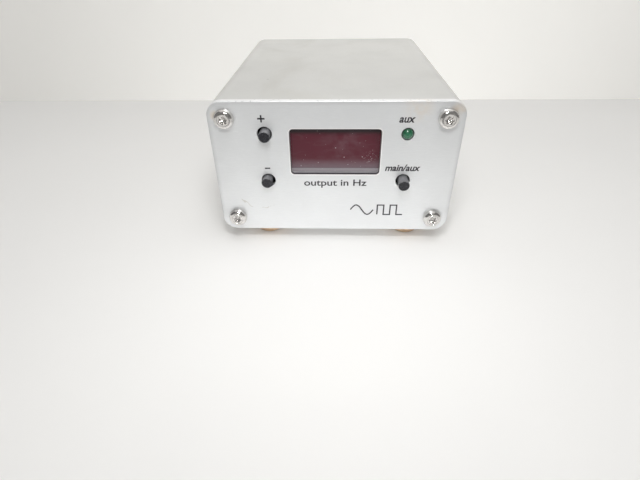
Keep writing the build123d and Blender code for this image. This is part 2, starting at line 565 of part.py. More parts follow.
JACK_NOSE_R, JACK_BORE_R, JACK_BORE_L, JACK_PIN_R, JACK_PIN_SET = 4.0, 3.15, 9.5, 1.05, 0.9
JACK_PROUD = 0.4            # how far the socket's nose stands out of the rear plate
WASHER_T, WASHER_R, WASHER_TEETH = 0.6, 7.3, 12
NUT_T, NUT_FLAT, NUT_CORNER_R, NUT_CROWN_R, NUT_BEVEL = 2.2, 14.0, 8.2, 6.9, 0.9
THREAD_IN = 5.0             # how far the metal shell reaches into its block
STUD_R, STUD_OUT, STUD_BACK = 0.95, 0.9, 4.6
INSULATOR_R, DISC_R, DISC_T, PIN_R, PIN_BORE_R, SLIT = 2.25, 3.4, 1.6, 1.05, 0.65, 0.24
TIP_Y = REAR_Y + CONNECTOR_OUT
BORE_END = TIP_Y - 9.6
SHELL_START = TUBE_REAR - THREAD_IN


def connector_shell(x):
    """Threaded neck through the plate, then the barrel with its two bayonet studs and a bored mouth."""
    z = CONNECTOR_Z
    shell = rod_y(x, z, THREAD_R, SHELL_START, TIP_Y - BARREL_L)
    barrel = rod_y(x, z, BARREL_R, TIP_Y - BARREL_L, TIP_Y)
    shell += chamfer(barrel.faces().sort_by(Axis.Y)[-1].edges(), 0.35)
    for side in (-1, 1):
        reach = sorted((x + side * (BARREL_R - 0.4), x + side * (BARREL_R + STUD_OUT)))
        shell += rod_x(TIP_Y - STUD_BACK, z, STUD_R, *reach)
    shell -= rod_y(x, z, BARREL_BORE_R, BORE_END, TIP_Y + 1)
    return shell - rod_y(x, z, INSULATOR_R + 0.05, SHELL_START - 1, BORE_END + 1)


def connector_insulator(x):
    """The white sleeve round the contact, with a disc that fills the end of the shell's bore."""
    z = CONNECTOR_Z
    body = rod_y(x, z, INSULATOR_R, SHELL_START + 0.5, TIP_Y - 4.8)
    body += rod_y(x, z, DISC_R, BORE_END, BORE_END + DISC_T)
    return body - rod_y(x, z, PIN_R + 0.05, SHELL_START - 1, TIP_Y)


def connector_contact(x):
    """The hollow centre contact, slit across so that it springs."""
    z = CONNECTOR_Z
    body = rod_y(x, z, PIN_R, SHELL_START + 0.5, TIP_Y - 4.9)
    body -= rod_y(x, z, PIN_BORE_R, TIP_Y - 9.5, TIP_Y)
    return body - block(x - 1.2, x + 1.2, TIP_Y - 8.4, TIP_Y - 4, z - SLIT / 2, z + SLIT / 2)


def connector_block(x):
    """The moulded block on the main board, bored for the metal shell."""
    half, z, front = CONNECTOR_BLOCK / 2, CONNECTOR_Z, TUBE_REAR - CONNECTOR_BLOCK
    body = block(x - half, x + half, front, TUBE_REAR, MAIN_TOP, MAIN_TOP + CONNECTOR_BLOCK)
    body = fillet(body.faces().sort_by(Axis.Z)[-1].edges(), 0.8)
    return body - rod_y(x, z, THREAD_R + 0.02, SHELL_START, TUBE_REAR + 1)


def connector_washer(x):
    """A lock washer with teeth round its bore."""
    ring = Circle(WASHER_R) - Circle(WASHER_R - 1.7)
    for tooth in range(WASHER_TEETH):
        ring += Rot(0, 0, 360 / WASHER_TEETH * tooth) * Pos(5.4, 0) * Rectangle(1.0, 1.1)
    ring -= Circle(THREAD_R + 0.15)
    return prism_y(Pos(x, CONNECTOR_Z) * ring, REAR_Y, REAR_Y + WASHER_T)


def connector_nut(x):
    """A hexagon nut whose outer face is bevelled to a circle."""
    low = REAR_Y + WASHER_T
    hexagon = RegularPolygon(NUT_FLAT / 2, 6, major_radius=False)
    nut = prism_y(Pos(x, CONNECTOR_Z) * hexagon, low, low + NUT_T)
    crown = [(0, 0), (NUT_CORNER_R, 0), (NUT_CORNER_R, NUT_T - NUT_BEVEL), (NUT_CROWN_R, NUT_T), (0, NUT_T)]
    bore = rod_y(x, CONNECTOR_Z, THREAD_R + 0.05, low - 1, low + NUT_T + 1)
    return (nut & turned_y(crown, x, CONNECTOR_Z, low)) - bore


def power_jack_body():
    """A board-mounted low-voltage power socket whose round nose fills its hole in the rear plate."""
    x, half, back = POWER_X, JACK_W / 2, TUBE_REAR - 0.1
    body = block(x - half, x + half, TUBE_REAR - JACK_L, back, MAIN_TOP, MAIN_TOP + JACK_H)
    body += rod_y(x, JACK_Z, JACK_NOSE_R, back, REAR_Y + JACK_PROUD)
    return body - rod_y(x, JACK_Z, JACK_BORE_R, REAR_Y + JACK_PROUD - JACK_BORE_L, REAR_Y + 2)


def power_jack_contact():
    """The round-ended centre pin in the bore."""
    back, end = REAR_Y + JACK_PROUD - JACK_BORE_L, REAR_Y - JACK_PIN_SET
    return rod_y(POWER_X, JACK_Z, JACK_PIN_R, back, end) + Pos(POWER_X, end, JACK_Z) * Sphere(JACK_PIN_R)


# ---- Power switch ------------------------------------------------------------------------------------------

SWITCH_CAN_W, SWITCH_CAN_H, SWITCH_CAN_L = 12.6, 18.6, 14.0
BEZEL_W, BEZEL_H, BEZEL_T = 15.0, 21.0, 2.0
ROCKER_Y = REAR_Y - 0.5     # the axis of the rocker
PIVOT_R, PIVOT_PLAY = 1.1, 0.05
ROCKER_ROOM_W, ROCKER_ROOM_H, ROCKER_ROOM_L = ROCKER_W / 2 + GAP, ROCKER_R + GAP, 8.5
ROCKER_BACK = -4.2          # flat back of the rocker, from its axis
STUB_L, STUB_ROOM = 1.0, 0.15
TERMINAL_W, TERMINAL_T, TERMINAL_L, TERMINAL_HOLE_R = 4.6, 0.8, 7.0, 0.8
TERMINAL_RISES = (-4.5, 4.5)


def power_rocker():
    """Two flat faces that meet in a shallow valley, round ends, and a stub on each side; switched off."""
    valley = BEZEL_T + 0.5                       # from the axis to the valley
    rise = ROCKER_R * tan(radians(ROCKER_TILT))
    reach = ROCKER_R + 1
    edge = valley + rise * reach / ROCKER_R
    wedge = Polygon((ROCKER_BACK, -reach), (edge, -reach), (valley, 0), (edge, reach), (ROCKER_BACK, reach),
                    align=None)
    rocker = prism_x(Circle(ROCKER_R) & wedge, -ROCKER_W / 2, ROCKER_W / 2)
    rocker += rod_x(0, 0, PIVOT_R, -ROCKER_W / 2 - STUB_L, ROCKER_W / 2 + STUB_L)
    return Pos(POWER_X, ROCKER_Y, ROCKER_Z) * Rot(-ROCKER_TILT, 0, 0) * rocker


def power_switch_body():
    x, z = POWER_X, ROCKER_Z
    body = block(x - SWITCH_CAN_W / 2, x + SWITCH_CAN_W / 2, REAR_Y - SWITCH_CAN_L, REAR_Y,
                 z - SWITCH_CAN_H / 2, z + SWITCH_CAN_H / 2)
    bezel = prism_y(Pos(x, z) * RectangleRounded(BEZEL_W, BEZEL_H, 1.0), REAR_Y, REAR_Y + BEZEL_T)
    body += chamfer(bezel.faces().sort_by(Axis.Y)[-1].edges(), 0.6)
    body -= block(x - ROCKER_ROOM_W, x + ROCKER_ROOM_W, ROCKER_Y - ROCKER_ROOM_L, REAR_Y + BEZEL_T + 1,
                  z - ROCKER_ROOM_H, z + ROCKER_ROOM_H)
    pivot_half = ROCKER_W / 2 + STUB_L + STUB_ROOM
    return body - rod_x(ROCKER_Y, z, PIVOT_R + PIVOT_PLAY, x - pivot_half, x + pivot_half)


def power_switch_terminals():
    x, back = POWER_X, REAR_Y - SWITCH_CAN_L
    blades = []
    for rise in TERMINAL_RISES:
        z = ROCKER_Z + rise
        blade = block(x - TERMINAL_W / 2, x + TERMINAL_W / 2, back - TERMINAL_L, back,
                      z - TERMINAL_T / 2, z + TERMINAL_T / 2)
        blades.append(blade - rod_z(x, back - TERMINAL_L + 2.0, TERMINAL_HOLE_R, z - 1, z + 1))
    return blades


LEAD_R, LEAD_BEND, LEAD_SIDE, LEAD_RUN, LEAD_DROP = 0.8, 2.4, 4.0, 9.0, 6.0


def power_switch_lead(index):
    """An insulated lead from a terminal, forward and down to the main board."""
    x = POWER_X + (LEAD_SIDE if index else -LEAD_SIDE)
    y, z = REAR_Y - SWITCH_CAN_L - TERMINAL_L - GAP, ROCKER_Z + TERMINAL_RISES[index]
    route = FilletPolyline((POWER_X, y, z), (POWER_X, y - LEAD_RUN + 3, z), (x, y - LEAD_RUN, z - LEAD_DROP),
                           (x, y - LEAD_RUN, MAIN_TOP + 0.4), radius=LEAD_BEND)
    return sweep(Plane(origin=route @ 0, z_dir=route % 0) * Circle(LEAD_R), path=route)


# ---- Write every part --------------------------------------------------------------------------------------

def write_case():
    save("case_tube", case_tube())
    save("front_panel", front_panel())
    save("rear_panel", rear_panel())
    save("front_panel_screws", *[plate_screw(x, z, FRONT_Y, -1) for x, z in SCREW_SPOTS])
    save("rear_panel_screws", *[plate_screw(x, z, REAR_Y, 1) for x, z in SCREW_SPOTS])
    ends = {"front": (FRONT_Y + FOOT_INSET_Y, FOOT_FRONT_X), "rear": (REAR_Y - FOOT_INSET_Y, FOOT_REAR_X)}
    for end, (y, xs) in ends.items():
        for side, x in zip(("left", "right"), xs):
            save(f"foot_{end}_{side}", bumper_foot(x, y))


def write_display():
    bars = display_segments()
    save("display_window", display_window())
    save("display_window_tape", display_window_tape())
    save("display_segments", *bars)
    save("display_module", display_module(bars))
    tail = CONTROL_BACK + PIN_TAIL
    save("display_pins", *square_pins(display_pin_spots(), LEAD_HALF, DISPLAY_Y + DISPLAY_D, tail))
    save("external_source_lamp", lamp())
    save("external_source_lamp_leads", *square_pins(lamp_lead_spots(), LEAD_HALF, LAMP_BACK, tail))
    save("lamp_spacer", lamp_spacer())


def write_buttons():
    for name, (x, rise, out, lean) in BUTTONS.items():
        save(f"{name}_button_cap", button_cap(x, rise, out, lean))
        save(f"{name}_button_plunger", plunger(x, rise, out))
        save(f"{name}_switch_body", switch_body(x, rise))
        save(f"{name}_return_spring", return_spring(x, rise))
    save("switch_pins", *square_pins(switch_pin_spots(), SWITCH_PIN_HALF, CONTROL_Y, CONTROL_BACK + PIN_TAIL))


def write_boards():
    save("control_board", control_board())
    save("main_board", main_board())
    save("board_link_body", board_link_body())
    save("board_link_pins", *board_link_pins())
    save("board_brackets", *[board_bracket(side) for side in (-1, 1)])
    save("bracket_screws", *bracket_screws())
    driver_place = Pos(0, CONTROL_BACK, BASE_Z + WINDOW_Z) * Rot(-90, 0, 0)
    save("display_driver", *dual_row_chip(16, 4 * PITCH, driver_place))
    save("microcontroller", *dual_row_chip(28, 3 * PITCH, Pos(*CONTROLLER_SPOT, MAIN_TOP)))
    save("output_driver", *dual_row_chip(8, 3 * PITCH, Pos(*OUTPUT_DRIVER_SPOT, MAIN_TOP)))
    save("clock_crystal", clock_crystal(*CRYSTAL_SPOT))
    save("level_trimmer", level_trimmer(*TRIMMER_SPOT))
    save("electrolytic_capacitors", *[capacitor_can(*sizes) for sizes in CAN_SIZES])
    save("film_capacitors", *[film_capacitor(x, FILM_Y) for x in FILM_XS])
    save("resistors", *[resistor(x, y) for x in RESISTOR_XS for y in RESISTOR_YS])
    save("voltage_regulator", voltage_regulator())
    save("heat_sink", heat_sink())
    save("regulator_screw", regulator_screw())


def write_rear():
    save("output_connector_shell", connector_shell(OUTPUT_X))
    save("trigger_connector_shell", connector_shell(TRIGGER_X))
    spots = (OUTPUT_X, TRIGGER_X)
    save("connector_blocks", *[connector_block(x) for x in spots])
    save("connector_insulators", *[connector_insulator(x) for x in spots])
    save("connector_contacts", *[connector_contact(x) for x in spots])
    save("connector_nuts", *[connector_nut(x) for x in spots])
    save("connector_washers", *[connector_washer(x) for x in spots])
    save("power_jack_body", power_jack_body())
    save("power_jack_contact", power_jack_contact())
    save("power_rocker", power_rocker())
    save("power_switch_body", power_switch_body())
    save("power_switch_terminals", *power_switch_terminals())
    save("power_switch_leads", *[power_switch_lead(index) for index in (0, 1)])


write_case()
write_display()
write_buttons()
write_boards()
write_rear()
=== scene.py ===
import json
import math

import bmesh
import bpy
from bpy.props import FloatProperty, FloatVectorProperty, IntProperty, PointerProperty
from mathutils import Matrix, Vector


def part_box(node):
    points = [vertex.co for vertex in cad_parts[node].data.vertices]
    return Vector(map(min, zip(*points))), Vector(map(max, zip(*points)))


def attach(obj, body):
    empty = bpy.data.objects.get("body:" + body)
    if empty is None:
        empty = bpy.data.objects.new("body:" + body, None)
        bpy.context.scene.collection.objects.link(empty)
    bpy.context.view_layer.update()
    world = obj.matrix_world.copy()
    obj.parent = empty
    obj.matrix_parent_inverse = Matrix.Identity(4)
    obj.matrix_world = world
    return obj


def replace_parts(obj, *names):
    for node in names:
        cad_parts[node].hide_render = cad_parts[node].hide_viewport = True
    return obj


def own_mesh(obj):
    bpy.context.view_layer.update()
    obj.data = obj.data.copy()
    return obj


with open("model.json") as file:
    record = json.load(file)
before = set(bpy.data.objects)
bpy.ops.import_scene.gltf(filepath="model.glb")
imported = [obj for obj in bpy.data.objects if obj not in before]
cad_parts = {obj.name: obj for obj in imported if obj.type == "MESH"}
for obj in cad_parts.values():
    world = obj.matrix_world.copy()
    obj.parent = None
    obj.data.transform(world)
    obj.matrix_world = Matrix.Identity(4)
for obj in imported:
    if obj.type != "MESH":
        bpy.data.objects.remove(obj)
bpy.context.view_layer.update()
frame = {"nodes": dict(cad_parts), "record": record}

bl_info = {
    "name": "Bench function generator",
    "version": (1, 0, 0),
    "blender": (4, 5, 0),
    "location": "3D View > Sidebar > Generator",
    "description": "Finishes, screws, threads and legends for a small function generator, and a studio",
    "category": "Object",
}


def middle_of(node):
    return sum(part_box(node), Vector()) / 2


MM = 0.001
PLATE_LOW, PLATE_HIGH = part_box("front_panel")
FRONT_FACE = PLATE_LOW.y
BACK_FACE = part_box("rear_panel")[1].y
HALF_WIDTH = PLATE_HIGH.x
HALF_HEIGHT = (PLATE_HIGH.z - PLATE_LOW.z) / 2
CASE_MIDDLE = (PLATE_LOW.z + PLATE_HIGH.z) / 2
HEAD_RISE = PLATE_LOW.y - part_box("front_panel_screws")[0].y
WINDOW = middle_of("display_window")
SLOT_OF = {part["node"]: part["material_slot"] for part in frame["record"]["subparts"]}
JOINTS = {joint["name"]: joint for joint in frame["record"]["behaviour"]["joints"]}

CASE_CORNER = 6.0  # radius of the plates' corners, in millimetres
WINDOW_HALF_WIDTH, WINDOW_HALF_HEIGHT, WINDOW_CORNER = 18.25, 9.65, 1.4  # its opening, in millimetres
INK_SUNK = 0.008 * MM  # how far a print reaches into what it is printed on


# ---- Sizes and colours ----

def number(name, description, default, **kind):
    return FloatProperty(name=name, description=description, default=default, **kind)


def length(name, description, millimetres):
    return number(name, description, millimetres * MM, unit="LENGTH", precision=5)


def power(name, description, default):
    return number(name, description, default, unit="POWER")


def colour(name, description, default):
    return FloatVectorProperty(name=name, description=description, default=default,
                               subtype="COLOR", size=3, min=0.0, max=1.0)


class GeneratorSizes(bpy.types.PropertyGroup):
    head_radius: length("Screw head radius", "Radius of a plate screw's head", 4.0)
    head_height: length("Screw head height", "How far a plate screw's head stands out", HEAD_RISE / MM)
    head_flat: length("Screw flat radius", "Radius of the flat round the recess", 2.45)
    recess_radius: length("Recess radius", "Mean radius of the star recess", 1.52)
    recess_depth: length("Recess depth", "Depth of the star recess", 0.9)
    shank_radius: length("Shank radius", "Radius of a plate screw's shank", 1.95)
    shank_length: length("Shank length", "Length of a plate screw's shank", 10.0)
    screw_spread_x: length("Screw spread across", "From the middle to a screw, across", 43.2)
    screw_spread_z: length("Screw spread up", "From the middle to a screw, upwards", 22.4)
    screw_seed: IntProperty(name="Screw seed", default=4,
                            description="Seed of the angles at which the screws stopped")
    thread_radius: length("Thread radius", "Radius of the connectors' threaded necks", 4.7)
    thread_pitch: length("Thread pitch", "Rise of the connectors' thread in one turn", 0.8)
    ink_height: length("Ink height", "Thickness of the printed legends", 0.025)


class GeneratorColours(bpy.types.PropertyGroup):
    plate: colour("Plates", "Anodised front and rear plates", (0.69, 0.7, 0.705))
    tube: colour("Case", "Anodised extruded case", (0.712, 0.712, 0.697))
    steel: colour("Screws", "Polished stainless screws", (0.79, 0.77, 0.75))
    nickel: colour("Nickel", "Plated connectors and nuts", (0.62, 0.6, 0.56))
    ink: colour("Ink", "Printed legends", (0.02, 0.018, 0.022))
    window: colour("Window", "Tinted window over the digits", (0.076, 0.0135, 0.022))
    lamp: colour("Lamp", "Tinted lamp", (0.011, 0.075, 0.036))
    cap: colour("Button caps", "Moulded button caps", (0.011, 0.011, 0.015))
    foot: colour("Feet", "Stick-on bumper feet", (0.9, 0.61, 0.4))
    floor: colour("Floor", "Plain pale floor", (0.8, 0.795, 0.785))
    wall: colour("Wall", "Plain pale wall behind", (0.95, 0.94, 0.91))


class GeneratorStudio(bpy.types.PropertyGroup):
    lens: number("Lens", "Focal length on a 36 mm frame, in millimetres", 23.28)
    key: power("Key light", "Power of the small light above the lens", 0.0625)
    front: power("Front light", "Power of the large light high in front", 1.65)
    overhead: power("Overhead light", "Power of the large light above", 3.3)
    bounce: power("Bounce light", "Power of the low light in front of the plate", 0.031)
    under: power("Under light", "Power of the faint light in the shadow underneath", 0.011)
    sky: number("Room light", "Strength of the light from all round", 0.25)
    backdrop: number("Backdrop", "Brightness of the plain room, as seen", 0.72)
    wall_distance: length("Wall distance", "From the middle of the case to the wall behind", 146.0)


# ---- Node trees ----

def summed(operation):
    """A method that adds one kind of Math node to a wire."""
    def add_node(wire, *others):
        return wire.sheet.node("ShaderNodeMath", dict(enumerate((wire, *others))), operation=operation)
    return add_node


class Wire:
    """An output socket that adds the Math nodes for the sums it is used in."""

    def __init__(self, sheet, socket):
        self.sheet = sheet
        self.socket = socket

    __add__ = __radd__ = summed("ADD")
    __sub__ = summed("SUBTRACT")
    __mul__ = __rmul__ = summed("MULTIPLY")
    __truediv__ = summed("DIVIDE")
    __pow__ = summed("POWER")
    __gt__ = summed("GREATER_THAN")
    __lt__ = summed("LESS_THAN")
    __abs__ = summed("ABSOLUTE")
    most = summed("MAXIMUM")
    fraction = summed("FRACT")
    wrapped = summed("WRAP")

    def __rsub__(self, other):
        return self.sheet.node("ShaderNodeMath", {0: other, 1: self}, operation="SUBTRACT")

    def swing(self, share):
        """A pattern's swing about its middle."""
        return (self - 0.5) * share

    def between(self, low, high):
        """0 below low, 1 above high, and a smooth climb from one to the other."""
        return self.sheet.node("ShaderNodeMapRange", {
            "Value": self, "From Min": low, "From Max": high}, interpolation_type="SMOOTHSTEP")

    def fading(self, low, high):
        """1 below low, 0 above high, and a smooth fall from one to the other."""
        return 1.0 - self.between(low, high)


class NodeSheet:
    """A node tree that is written as expressions."""

    def __init__(self, tree):
        self.tree = tree

    def node(self, kind, sockets=None, output=0, **settings):
        """One node: its settings first, then its sockets' values or links. Gives one output."""
        made = self.tree.nodes.new(kind)
        made.location = (len(self.tree.nodes) * 190.0, 0.0)
        for name, value in settings.items():
            setattr(made, name, value)
        for key, value in (sockets or {}).items():
            if isinstance(value, Wire):
                self.tree.links.new(value.socket, made.inputs[key])
            else:
                made.inputs[key].default_value = value
        return Wire(self, made.outputs[output]) if len(made.outputs) else None

    def axis(self, letter, vector=None):
        """One coordinate of a vector, or of the spot that a finish is working out."""
        return self.node("ShaderNodeSeparateXYZ", {"Vector": vector or self.spot()}, letter)

    def point(self, x=0.0, y=0.0, z=0.0):
        return self.node("ShaderNodeCombineXYZ", {"X": x, "Y": y, "Z": z})

    def seen_directly(self):
        """1 for what the camera, a reflection or a glass sees, and 0 for light that falls on things."""
        camera, glossy, clear = (self.node("ShaderNodeLightPath", output=f"Is {ray} Ray")
                                 for ray in ("Camera", "Glossy", "Transmission"))
        return camera.most(glossy).most(clear)


def opaque(tint):
    return (*tuple(tint)[:3], 1.0)


def shade(tint, factor, lift=0.0):
    """A colour lifted, then made darker or lighter by a factor."""
    return tuple(min(1.0, (part + lift) * factor) for part in tuple(tint)[:3])


class Finish(NodeSheet):
    """A material that reads its patterns from Object coordinates, in millimetres."""

    def __init__(self, name):
        self.material = bpy.data.materials.new(name)
        self.material.use_nodes = True
        super().__init__(self.material.node_tree)
        self.tree.nodes.clear()

    def spot(self, scale=(1.0, 1.0, 1.0), turn=(0.0, 0.0, 0.0)):
        """Object coordinates in millimetres, stretched and turned."""
        own = self.node("ShaderNodeTexCoord", output=3)
        return self.node("ShaderNodeMapping", {
            "Vector": own, "Scale": [part / MM for part in scale], "Rotation": turn})

    def facing(self, letter):
        """How far the surface faces along one axis of the object, from -1 to 1."""
        return self.axis(letter, self.node("ShaderNodeNewGeometry", output=1))

    def noise(self, scale, detail, vector=None, roughness=0.5, distortion=0.0):
        return self.node("ShaderNodeTexNoise", {
            "Vector": vector or self.spot(), "Scale": scale, "Detail": detail,
            "Roughness": roughness, "Distortion": distortion})

    def cells(self, scale, output=0, **settings):
        return self.node("ShaderNodeTexVoronoi", {"Vector": self.spot(), "Scale": scale}, output,
                         **settings)

    def mix(self, factor, a, b):
        """Colour a where factor is 0 and b where it is 1."""
        colours = [value if isinstance(value, Wire) else opaque(value) for value in (a, b)]
        return self.node("ShaderNodeMix", {0: factor, 6: colours[0], 7: colours[1]}, 2, data_type="RGBA")

    def shades(self, tint, pattern, dark, light, low=0.3, high=0.7):
        """A colour that goes from a dark to a light shade as a pattern goes from low to high."""
        return self.mix(pattern.between(low, high), shade(tint, dark), shade(tint, light))

    def coated(self, tone, *coats):
        """A colour under coats of others, each (how much of it shows, its colour)."""
        for share, tint in coats:
            tone = self.mix(share, tone, tint)
        return tone

    def bands(self, factor, starts):
        """Plain steps of colour, each (start, colour) held up to the next start."""
        made = self.node("ShaderNodeValToRGB", {0: factor})
        ramp = made.socket.node.color_ramp
        ramp.interpolation = "CONSTANT"
        while len(ramp.elements) < len(starts):
            ramp.elements.new(1.0)
        for element, (start, tint) in zip(ramp.elements, starts):
            element.position = start
            element.color = opaque(tint)
        return made

    def away_from(self, point):
        return self.node("ShaderNodeVectorMath", {0: self.spot(), 1: point}, 1, operation="DISTANCE")

    def near(self, point, radius, soft):
        """1 at a point, in millimetres, falling to 0 at radius over the soft share of it."""
        return self.away_from(point).fading(radius * (1.0 - soft), radius)

    def outside(self, middle, half_width, half_height, corner):
        """How far a spot on a plate lies outside a rounded rectangle, in millimetres."""
        across = (abs(self.axis("X") - middle.x / MM) - (half_width - corner)).most(0.0)
        up = (abs(self.axis("Z") - middle.z / MM) - (half_height - corner)).most(0.0)
        return (across ** 2.0 + up ** 2.0) ** 0.5 - corner

    def scratch(self, start, end, width):
        """1 along a wandering line between two points (x, z) of a plate, and 0 past its width."""
        length = math.dist(start, end)
        turn = math.atan2(end[1] - start[1], end[0] - start[0])
        sway = self.noise(0.35, 1.0).swing(3.0)
        across = self.axis("X") - (start[0] + end[0]) / 2.0
        up = self.axis("Z") - (start[1] + end[1]) / 2.0
        along = abs(across * math.cos(turn) + up * math.sin(turn))
        off = abs(up * math.cos(turn) - across * math.sin(turn) + sway)
        return off.fading(width * 0.3, width) * along.fading(length * 0.4, length * 0.5)

    def specks(self, scale, size, share):
        """Small round specks: cells of which only a share hold one."""
        chosen = self.axis("X", self.cells(scale, 1)) < share
        return chosen * self.cells(scale).fading(size * 0.5, size)

    def hairlines(self, scale, width, presence, vector=None):
        """Fine wandering lines where a noise crosses its middle, kept where presence is 1."""
        wave = self.noise(scale, 1.0, vector, distortion=0.6)
        return abs(wave - 0.5).fading(0.0, width) * presence

    def surface(self, tone, rough, relief=None, depth=0.0, strength=0.0, **sockets):
        """The Principled surface, its relief of a depth in millimetres; _ stands for a space."""
        if relief:
            sockets["Normal"] = self.node("ShaderNodeBump", {
                "Height": relief, "Distance": depth * MM, "Strength": strength})
        named = {name.replace("_", " "): value for name, value in sockets.items()}
        named.update({"Base Color": tone, "Roughness": rough})
        for name, value in named.items():
            if name.endswith("Color") and not isinstance(value, Wire):
                named[name] = opaque(value)
        self.output(self.node("ShaderNodeBsdfPrincipled", named))
        return self.material

    def output(self, shader):
        self.node("ShaderNodeOutputMaterial", {"Surface": shader})


# ---- Finishes ----

def anodised(finish, tint, along, metallic, roughness, marks=None):
    """Satin anodised aluminium, its grain along one axis; marks adds what happened to one face, with the
    light and shade painted on it.
    """
    drawn_out = [0.05 if letter == along else 1.0 for letter in "XYZ"]
    grain = finish.noise(9.0, 3.0, finish.spot(drawn_out), roughness=0.6)
    bead = finish.noise(14.0, 2.0)
    cloud = finish.noise(0.045, 3.0)
    lines = finish.hairlines(0.6, 0.004, finish.noise(0.09, 1.0).between(0.56, 0.64),
                             finish.spot(drawn_out, turn=(0.12, 0.25, 0.17)))
    tone = finish.coated(finish.shades(tint, grain, 0.965, 1.03, 0.25, 0.75),
                         (cloud.between(0.35, 0.75) * 0.6, shade(tint, 0.93)),
                         (lines * 0.35, shade(tint, 1.25)))
    rough = roughness + grain.swing(0.1) + cloud.swing(0.16) + lines * 0.1
    if marks:
        tone, rough = marks(finish, tone, rough)
    relief = grain * 0.6 + bead * 0.4 - lines * 0.8
    return finish.surface(tone, rough, relief, 0.012, 0.5, Metallic=metallic)


def bare_edge(finish, tone):
    """A plate's rounded outline: painted shade darkens its sides, and a painted highlight brightens it
    where its small chamfer faces up.
    """
    middle = Vector((0.0, 0.0, CASE_MIDDLE))
    outline = finish.outside(middle, HALF_WIDTH / MM, HALF_HEIGHT / MM, CASE_CORNER)
    # painted shade along the plate's sides
    painted_side_shade = outline.between(-2.0, 0.1) * finish.axis("Z").between(8.0, 18.0)
    knocks = finish.noise(0.8, 3.0).between(0.6, 0.68)
    upper = finish.facing("Z").between(0.1, 0.5)
    # painted highlight on the up-facing chamfer, broken where the edge is knocked
    painted_bevel_highlight = outline.between(-0.45, -0.25) * upper * (1.0 - knocks * 0.7)
    return finish.coated(tone, (painted_side_shade * 0.3, (0.36, 0.36, 0.37)), (painted_bevel_highlight, (0.8, 0.8, 0.81)))


def window_edge(finish, tone):
    """The opening for the window: painted shade darkens its cut wall, more so deeper in, a thin dark line
    runs at its very edge, and a painted highlight runs along its rim on the front face.
    """
    edge = finish.outside(WINDOW, WINDOW_HALF_WIDTH, WINDOW_HALF_HEIGHT, WINDOW_CORNER)
    level = abs(finish.facing("Y"))
    # painted shade on the cut wall of the opening, darker still behind the front
    wall = (edge < 0.15) * (level < 0.6)
    deep = finish.axis("Y").fading(-65.4, -65.1)
    # painted highlight along the rim on the front face
    rim = edge.fading(0.35, 0.65) * (level > 0.6)
    line = edge.fading(0.08, 0.22)
    return finish.coated(tone, (wall * 0.45, (0.12, 0.115, 0.12)), (wall * deep, (0.045, 0.04, 0.05)),
                         (rim * 0.8, (0.92, 0.9, 0.88)), (rim * line, (0.16, 0.15, 0.16)))


def front_plate_marks(finish, tone, rough):
    """Painted highlight and shade along the plate's edges and round the window's cut edge, then stains,
    scuffs and a few nicks.
    """
    face = FRONT_FACE / MM
    stain = finish.near((31.5, face, 61.8), 8.0, 0.95) * 0.34
    for x, z, radius in ((46.6, 60.6, 4.4), (-46.6, 59.0, 2.6)):
        stain = stain.most(finish.near((x, face, z), radius, 0.8) * 0.5)
    stain = stain * finish.noise(0.22, 3.0).between(0.25, 0.6)
    scuff = finish.scratch((-41.3, 22.2), (-35.6, 18.2), 0.32)
    scuff = scuff.most(finish.scratch((-33.5, 17.4), (-25.6, 18.9), 0.28))
    scuff = scuff * finish.noise(0.7, 3.0).between(0.36, 0.58)
    nicks = finish.specks(0.16, 0.09, 0.12)
    # the edges and the window opening get their painted light and shade first
    tone = finish.coated(window_edge(finish, bare_edge(finish, tone)), (stain, (0.7, 0.56, 0.4)),
                         (scuff * 0.45, (0.42, 0.39, 0.31)), (nicks * 0.5, (0.85, 0.85, 0.86)))
    return tone, rough + stain * 0.2 + scuff * 0.15


def tube_marks(finish, tone, rough):
    """Fingered, faintly yellowed patches on the extruded case, and painted shade that darkens it towards
    its front.
    """
    smudge = finish.noise(0.03, 4.0, finish.spot((1.0, 0.6, 1.0)), distortion=0.8)
    smudge = smudge.between(0.5, 0.72)
    # painted shade, darker towards the front of the case
    painted_front_shade = finish.axis("Y").fading(-64.0, 45.0)
    nicks = finish.specks(0.1, 0.08, 0.1)
    tone = finish.coated(tone, (painted_front_shade * 0.28, (0.34, 0.34, 0.34)),
                         (smudge * 0.22, (0.5, 0.48, 0.43)), (nicks * 0.6, (0.34, 0.34, 0.34)))
    return tone, rough + smudge * 0.06


def plated(finish, tint, roughness, lathe=None):
    """Bright plated or polished metal; lathe names the axis round which it was turned."""
    cloud = finish.noise(0.7, 3.0)
    fine = finish.noise(16.0, 2.0)
    scratch = finish.hairlines(1.6, 0.01, cloud.between(0.5, 0.6))
    relief = fine * 0.3 - scratch * 0.4
    if lathe:
        rings = finish.spot([1.0 if letter == lathe else 0.02 for letter in "XYZ"])
        relief = relief + finish.noise(7.0, 2.0, rings) * 0.6
    tone = finish.shades(tint, cloud, 0.93, 1.05)
    rough = roughness + cloud.swing(0.12) + scratch * 0.1
    return finish.surface(tone, rough, relief, 0.004, 0.4, Metallic=1.0)


def moulded(finish, tint, roughness, texture=3.0, wear=0.0):
    """Moulded plastic: faint flow marks, a fine texture, and wear as paler rubbed patches."""
    flow = finish.noise(0.25, 3.0, distortion=0.5)
    fine = finish.noise(texture, 3.0, roughness=0.6)
    tone = finish.shades(tint, flow, 0.88, 1.12)
    if wear:
        rubbed = finish.noise(1.1, 3.0).between(0.5, 0.68)
        tone = finish.mix(rubbed * wear, tone, shade(tint, 1.5, 0.06))
    return finish.surface(tone, roughness + fine.swing(0.16) + flow.swing(0.1), fine, 0.01, 0.5)


